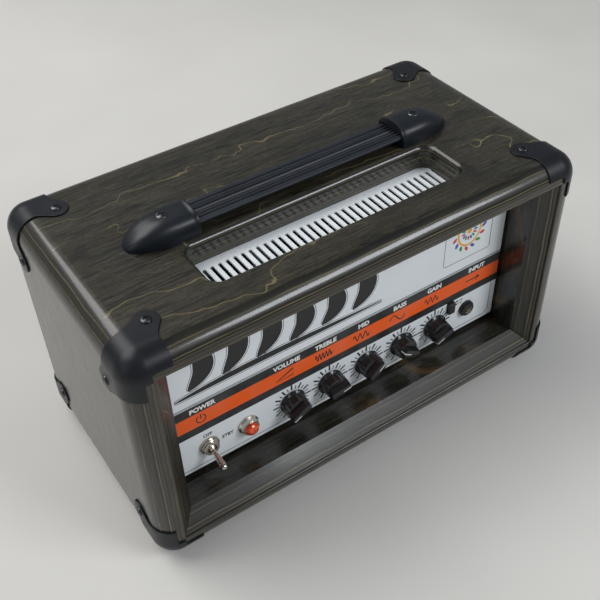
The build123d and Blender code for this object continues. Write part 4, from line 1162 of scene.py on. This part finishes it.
class AMP_OT_knobs(Step, bpy.types.Operator):
    """Make the five pointer knobs and their shafts"""

    bl_idname = "amp_head.knobs"
    bl_label = "Knobs"

    def make(self, scene):
        settings = scene.amp_controls
        black = moulded(
            "knob_plastic", settings.knob, 0.30, 0.012 * MM, 1500.0,
            Coat_Weight=0.25, Coat_Roughness=0.2)
        line = printed_ink("pointer_paint", (0.78, 0.78, 0.76))
        metal = plated("turned_shaft", (0.62, 0.62, 0.61), 0.3, (1.0, 12.0, 1.0))
        for name in KNOBS:
            body = f"knob_{name}"
            low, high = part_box(body)
            centre = joint_point(f"{name}_turn")
            angle = math.radians(-150.0 - joint_range(f"{name}_turn")[0])
            place = facing(centre.x, centre.z, high.y, angle)
            self.knob(body, place, high.y - low.y, settings.flutes, black)
            self.pointer(f"pointer_{name}", body, place, high.y - low.y, line)
            wear(f"shaft_{name}", metal)
        wear("pot_bodies", plated("pressed_pot", (0.5, 0.5, 0.49), 0.36))
        wear("pot_nuts", plated("pot_nut_steel", (0.55, 0.54, 0.52), 0.3))

    def knob(self, body, place, height, flutes, finish):
        """Round skirt, fluted drum and a bar grip with sloping ends."""
        shape = bmesh.new()
        skirt = 11.0 * MM

        def scallop(angle, row):
            if row < 4 or row > 8:
                return 1.0
            return 1.0 - 0.085 * (0.5 - 0.5 * math.cos(flutes * angle)) ** 0.6

        profile = [
            (7.2 * MM, 3.0 * MM), (7.2 * MM, 0.0), (skirt - 0.3 * MM, 0.0), (skirt, 0.3 * MM),
            (skirt, 1.1 * MM),
            (skirt - 0.5 * MM, 1.8 * MM), (9.9 * MM, 2.4 * MM), (9.5 * MM, 3.4 * MM), (9.1 * MM, 8.2 * MM),
            (8.5 * MM, 9.0 * MM), (7.4 * MM, 9.4 * MM), (0.0, 9.5 * MM)]
        lathe(shape, profile, 12 * flutes, place, scallop)
        shape_floor = [(0.0, 3.0 * MM), (7.2 * MM, 3.0 * MM)]
        lathe(shape, shape_floor, 12 * flutes, place)
        rows = []
        for level, front, back, half, cut in (
                (1.6 * MM, 10.3 * MM, 8.9 * MM, 4.5 * MM, 2.2 * MM),
                (9.0 * MM, 10.2 * MM, 8.8 * MM, 4.2 * MM, 2.2 * MM),
                (height - 1.0 * MM, 9.5 * MM, 8.0 * MM, 3.6 * MM, 2.0 * MM),
                (height - 0.25 * MM, 9.1 * MM, 7.6 * MM, 3.3 * MM, 1.9 * MM),
                (height, 8.6 * MM, 7.1 * MM, 2.9 * MM, 1.7 * MM)):
            outline = (
                (front, half - cut), (front - cut, half), (-back + cut, half), (-back, half - cut),
                (-back, -half + cut), (-back + cut, -half), (front - cut, -half), (front, -half + cut))
            rows.append([shape.verts.new(place @ Vector((x, y, level))) for x, y in outline])
        for low, high in zip(rows, rows[1:]):
            for k in range(8):
                n = (k + 1) % 8
                shape.faces.new((low[k], low[n], high[n], high[k]))
        shape.faces.new(rows[0][::-1])
        shape.faces.new(rows[-1])
        finished(f"{body}_moulding", shape, finish, body, (body,), 32.0)

    def pointer(self, name, body, place, height, finish):
        """White line over the front edge of the grip."""
        shape = bmesh.new()
        width, proud = 0.42 * MM, 0.06 * MM
        track = (
            (2.2 * MM, height), (8.6 * MM, height), (9.1 * MM, height - 0.25 * MM),
            (9.5 * MM, height - 1.0 * MM), (10.0 * MM, height - 4.6 * MM))
        rows = []
        for i, (x, z) in enumerate(track):
            a, b = track[max(0, i - 1)], track[min(len(track) - 1, i + 1)]
            way = Vector((b[0] - a[0], 0, b[1] - a[1])).normalized()
            out = Vector((-way.z, 0, way.x))
            rows.append([
                shape.verts.new(place @ (Vector((x, s * width, z)) + out * (proud if h else -proud)))
                for s, h in ((-1, 0), (1, 0), (1, 1), (-1, 1))])
        for a, b in zip(rows, rows[1:]):
            for k in range(4):
                n = (k + 1) % 4
                shape.faces.new((a[k], a[n], b[n], b[k]))
        shape.faces.new(rows[0])
        shape.faces.new(rows[-1][::-1])
        finished(name, shape, finish, body)


class AMP_OT_switches(Step, bpy.types.Operator):
    """Plate the toggle and the lamp, cut the jewel, and finish the push switch and the input jack"""

    bl_idname = "amp_head.switches"
    bl_label = "Switches, lamp and jack"

    def make(self, scene):
        settings = scene.amp_controls
        nickel = plated("satin_nickel", settings.nickel, 0.24)
        for node in ("toggle_lever", "toggle_nut", "lamp_bezel"):
            wear(node, nickel)
        black = moulded("switch_black", (0.012, 0.012, 0.013), 0.34)
        for node in ("push_body", "push_cap", "jack_body", "jack_nut"):
            wear(node, black)
        bush = Finish("switch_and_bush", settings.nickel, 0.26)
        plated_part = bush.span(bush.axis(1), FACE_Y - 0.2 * MM, FACE_Y, 1.0, 0.0)
        marks = bush.noise(bush.object, 700.0, 3.0, 0.6)
        bush.set(Metallic=plated_part, Roughness=bush.span(marks, 0.3, 0.7, 0.2, 0.34))
        bush.set(Base_Color=bush.mix(plated_part, (0.012, 0.012, 0.013), settings.nickel))
        wear("toggle_body", bush)
        self.jewel(settings)
        self.sleeve(nickel)
        self.knurl(nickel)

    def jewel(self, settings):
        """Lens cut in rings of facets."""
        low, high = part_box("lamp_jewel")
        mid = (low + high) / 2
        place = facing(mid.x, mid.z, FACE_Y)
        lens = Finish(
            "jewel_lens", settings.jewel, 0.08, Transmission_Weight=0.30, IOR=1.5, Coat_Weight=0.8,
            Coat_Roughness=0.03, Emission_Strength=0.10)
        cloud = lens.noise(lens.object, 260.0, 2.0, 0.5)
        glow = lens.mix(lens.span(cloud, 0.35, 0.65), shade(settings.jewel, 0.45), (0.90, 0.10, 0.003))
        lens.set(Base_Color=glow, Emission_Color=glow)
        shape = bmesh.new()
        sides = 12
        rows = []
        for order, (radius, height) in enumerate((
                (5.5, 1.6), (5.5, 5.2), (5.2, 6.8), (4.2, 8.2), (2.4, 9.1))):
            shift = 0.5 * (order % 2)
            rows.append([
                shape.verts.new(place @ Vector((
                    radius * MM * math.cos(2 * math.pi * (k + shift) / sides),
                    radius * MM * math.sin(2 * math.pi * (k + shift) / sides), height * MM)))
                for k in range(sides)])
        for order, (near, far) in enumerate(zip(rows, rows[1:])):
            for k in range(sides):
                n = (k + 1) % sides
                if order % 2:
                    shape.faces.new((near[k], far[n], far[k]))
                    shape.faces.new((near[k], near[n], far[n]))
                else:
                    shape.faces.new((near[k], near[n], far[k]))
                    shape.faces.new((near[n], far[n], far[k]))
        shape.faces.new(rows[0][::-1])
        shape.faces.new(rows[-1])
        finished("jewel_lens", shape, lens, "shell", ("lamp_jewel",), 8.0)

    def sleeve(self, finish):
        """Bright sleeve inside the input jack."""
        jack = mount_point("input_jack")
        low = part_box("jack_nut")[0]
        depth = 22.0 * MM
        shape = bmesh.new()
        lathe(shape, [
            (3.15 * MM, -depth), (3.15 * MM, -0.6 * MM), (3.35 * MM, 0.05 * MM), (3.62 * MM, 0.15 * MM),
            (3.64 * MM, -0.2 * MM), (3.24 * MM, -1.4 * MM), (3.24 * MM, -depth), (3.15 * MM, -depth)],
            64, facing(jack.x, jack.z, low.y))
        finished("jack_sleeve", shape, finish, "shell")

    def knurl(self, finish):
        """Fine knurl round the toggle's dress nut."""
        low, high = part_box("toggle_nut")
        mid = (low + high) / 2
        count = 40
        radius = (high.x - low.x) / 2
        mesh = grown("nut_knurl", ring_recipe("nut_knurl", finish), {
            "Centre": (mid.x, high.y - 0.9 * MM, mid.z), "Count": count, "Start": 0.0,
            "Step": 2 * math.pi / count, "Radius": radius - 0.02 * MM,
            "Bar": (0.55 * MM, 1.5 * MM, 0.5 * MM)})
        placed("nut_knurl", mesh, finish, "shell")


class AMP_OT_inside(Step, bpy.types.Operator):
    """Finish the boards, the valve, the fan and the rear sockets"""

    bl_idname = "amp_head.inside"
    bl_label = "Inside and rear"

    def make(self, scene):
        board = moulded("board_green", (0.02, 0.12, 0.05), 0.35)
        for node in ("preamp_board", "power_board"):
            wear(node, board)
        wear("heat_sink", plated("extruded_aluminium", (0.6, 0.6, 0.61), 0.35, (0.05, 1.0, 1.0)))
        wear("transformer", moulded("core_wrap", (0.03, 0.03, 0.034), 0.4))
        plastic = moulded("fan_plastic", (0.014, 0.014, 0.015), 0.42)
        for node in ("fan_frame", "fan_rotor"):
            wear(node, plastic)
        for node in ("mains_inlet", "speaker_sockets", "rear_jacks"):
            wear(node, moulded(f"{node}_plastic", (0.012, 0.012, 0.013), 0.4))
        glass = Finish("valve_glass", (0.9, 0.92, 0.92), 0.04, Transmission_Weight=0.9, IOR=1.47)
        smoke = glass.noise(glass.object, 70.0, 2.0, 0.5)
        glass.set(Base_Color=glass.mix(glass.span(smoke, 0.4, 0.7), (0.9, 0.92, 0.92), (0.55, 0.56, 0.56)))
        wear("preamp_valve", glass)


STEPS = (
    AMP_OT_stage, AMP_OT_shell, AMP_OT_guards, AMP_OT_handle, AMP_OT_chassis, AMP_OT_panel,
    AMP_OT_knobs, AMP_OT_switches, AMP_OT_inside,
)


class AMP_PT_sidebar(bpy.types.Panel):
    """Lists the settings and the steps of the amplifier head"""

    bl_idname = "AMP_PT_sidebar"
    bl_label = "Amp Head"
    bl_space_type = "VIEW_3D"
    bl_region_type = "UI"
    bl_category = "Amp Head"

    def draw(self, context):
        for group, kind in GROUPS.items():
            box = self.layout.box()
            for name in kind.__annotations__:
                box.prop(getattr(context.scene, group), name)
        for step in STEPS:
            self.layout.operator(step.bl_idname)


def register():
    for kind in (*GROUPS.values(), *STEPS, AMP_PT_sidebar):
        bpy.utils.register_class(kind)
    for name, kind in GROUPS.items():
        setattr(bpy.types.Scene, name, bpy.props.PointerProperty(type=kind))


def unregister():
    for name in GROUPS:
        delattr(bpy.types.Scene, name)
    for kind in (AMP_PT_sidebar, *STEPS[::-1], *GROUPS.values()):
        bpy.utils.unregister_class(kind)


def main():
    register()
    for step in STEPS:
        group, name = step.bl_idname.split(".")
        getattr(getattr(bpy.ops, group), name)()


if __name__ == "__main__":
    main()
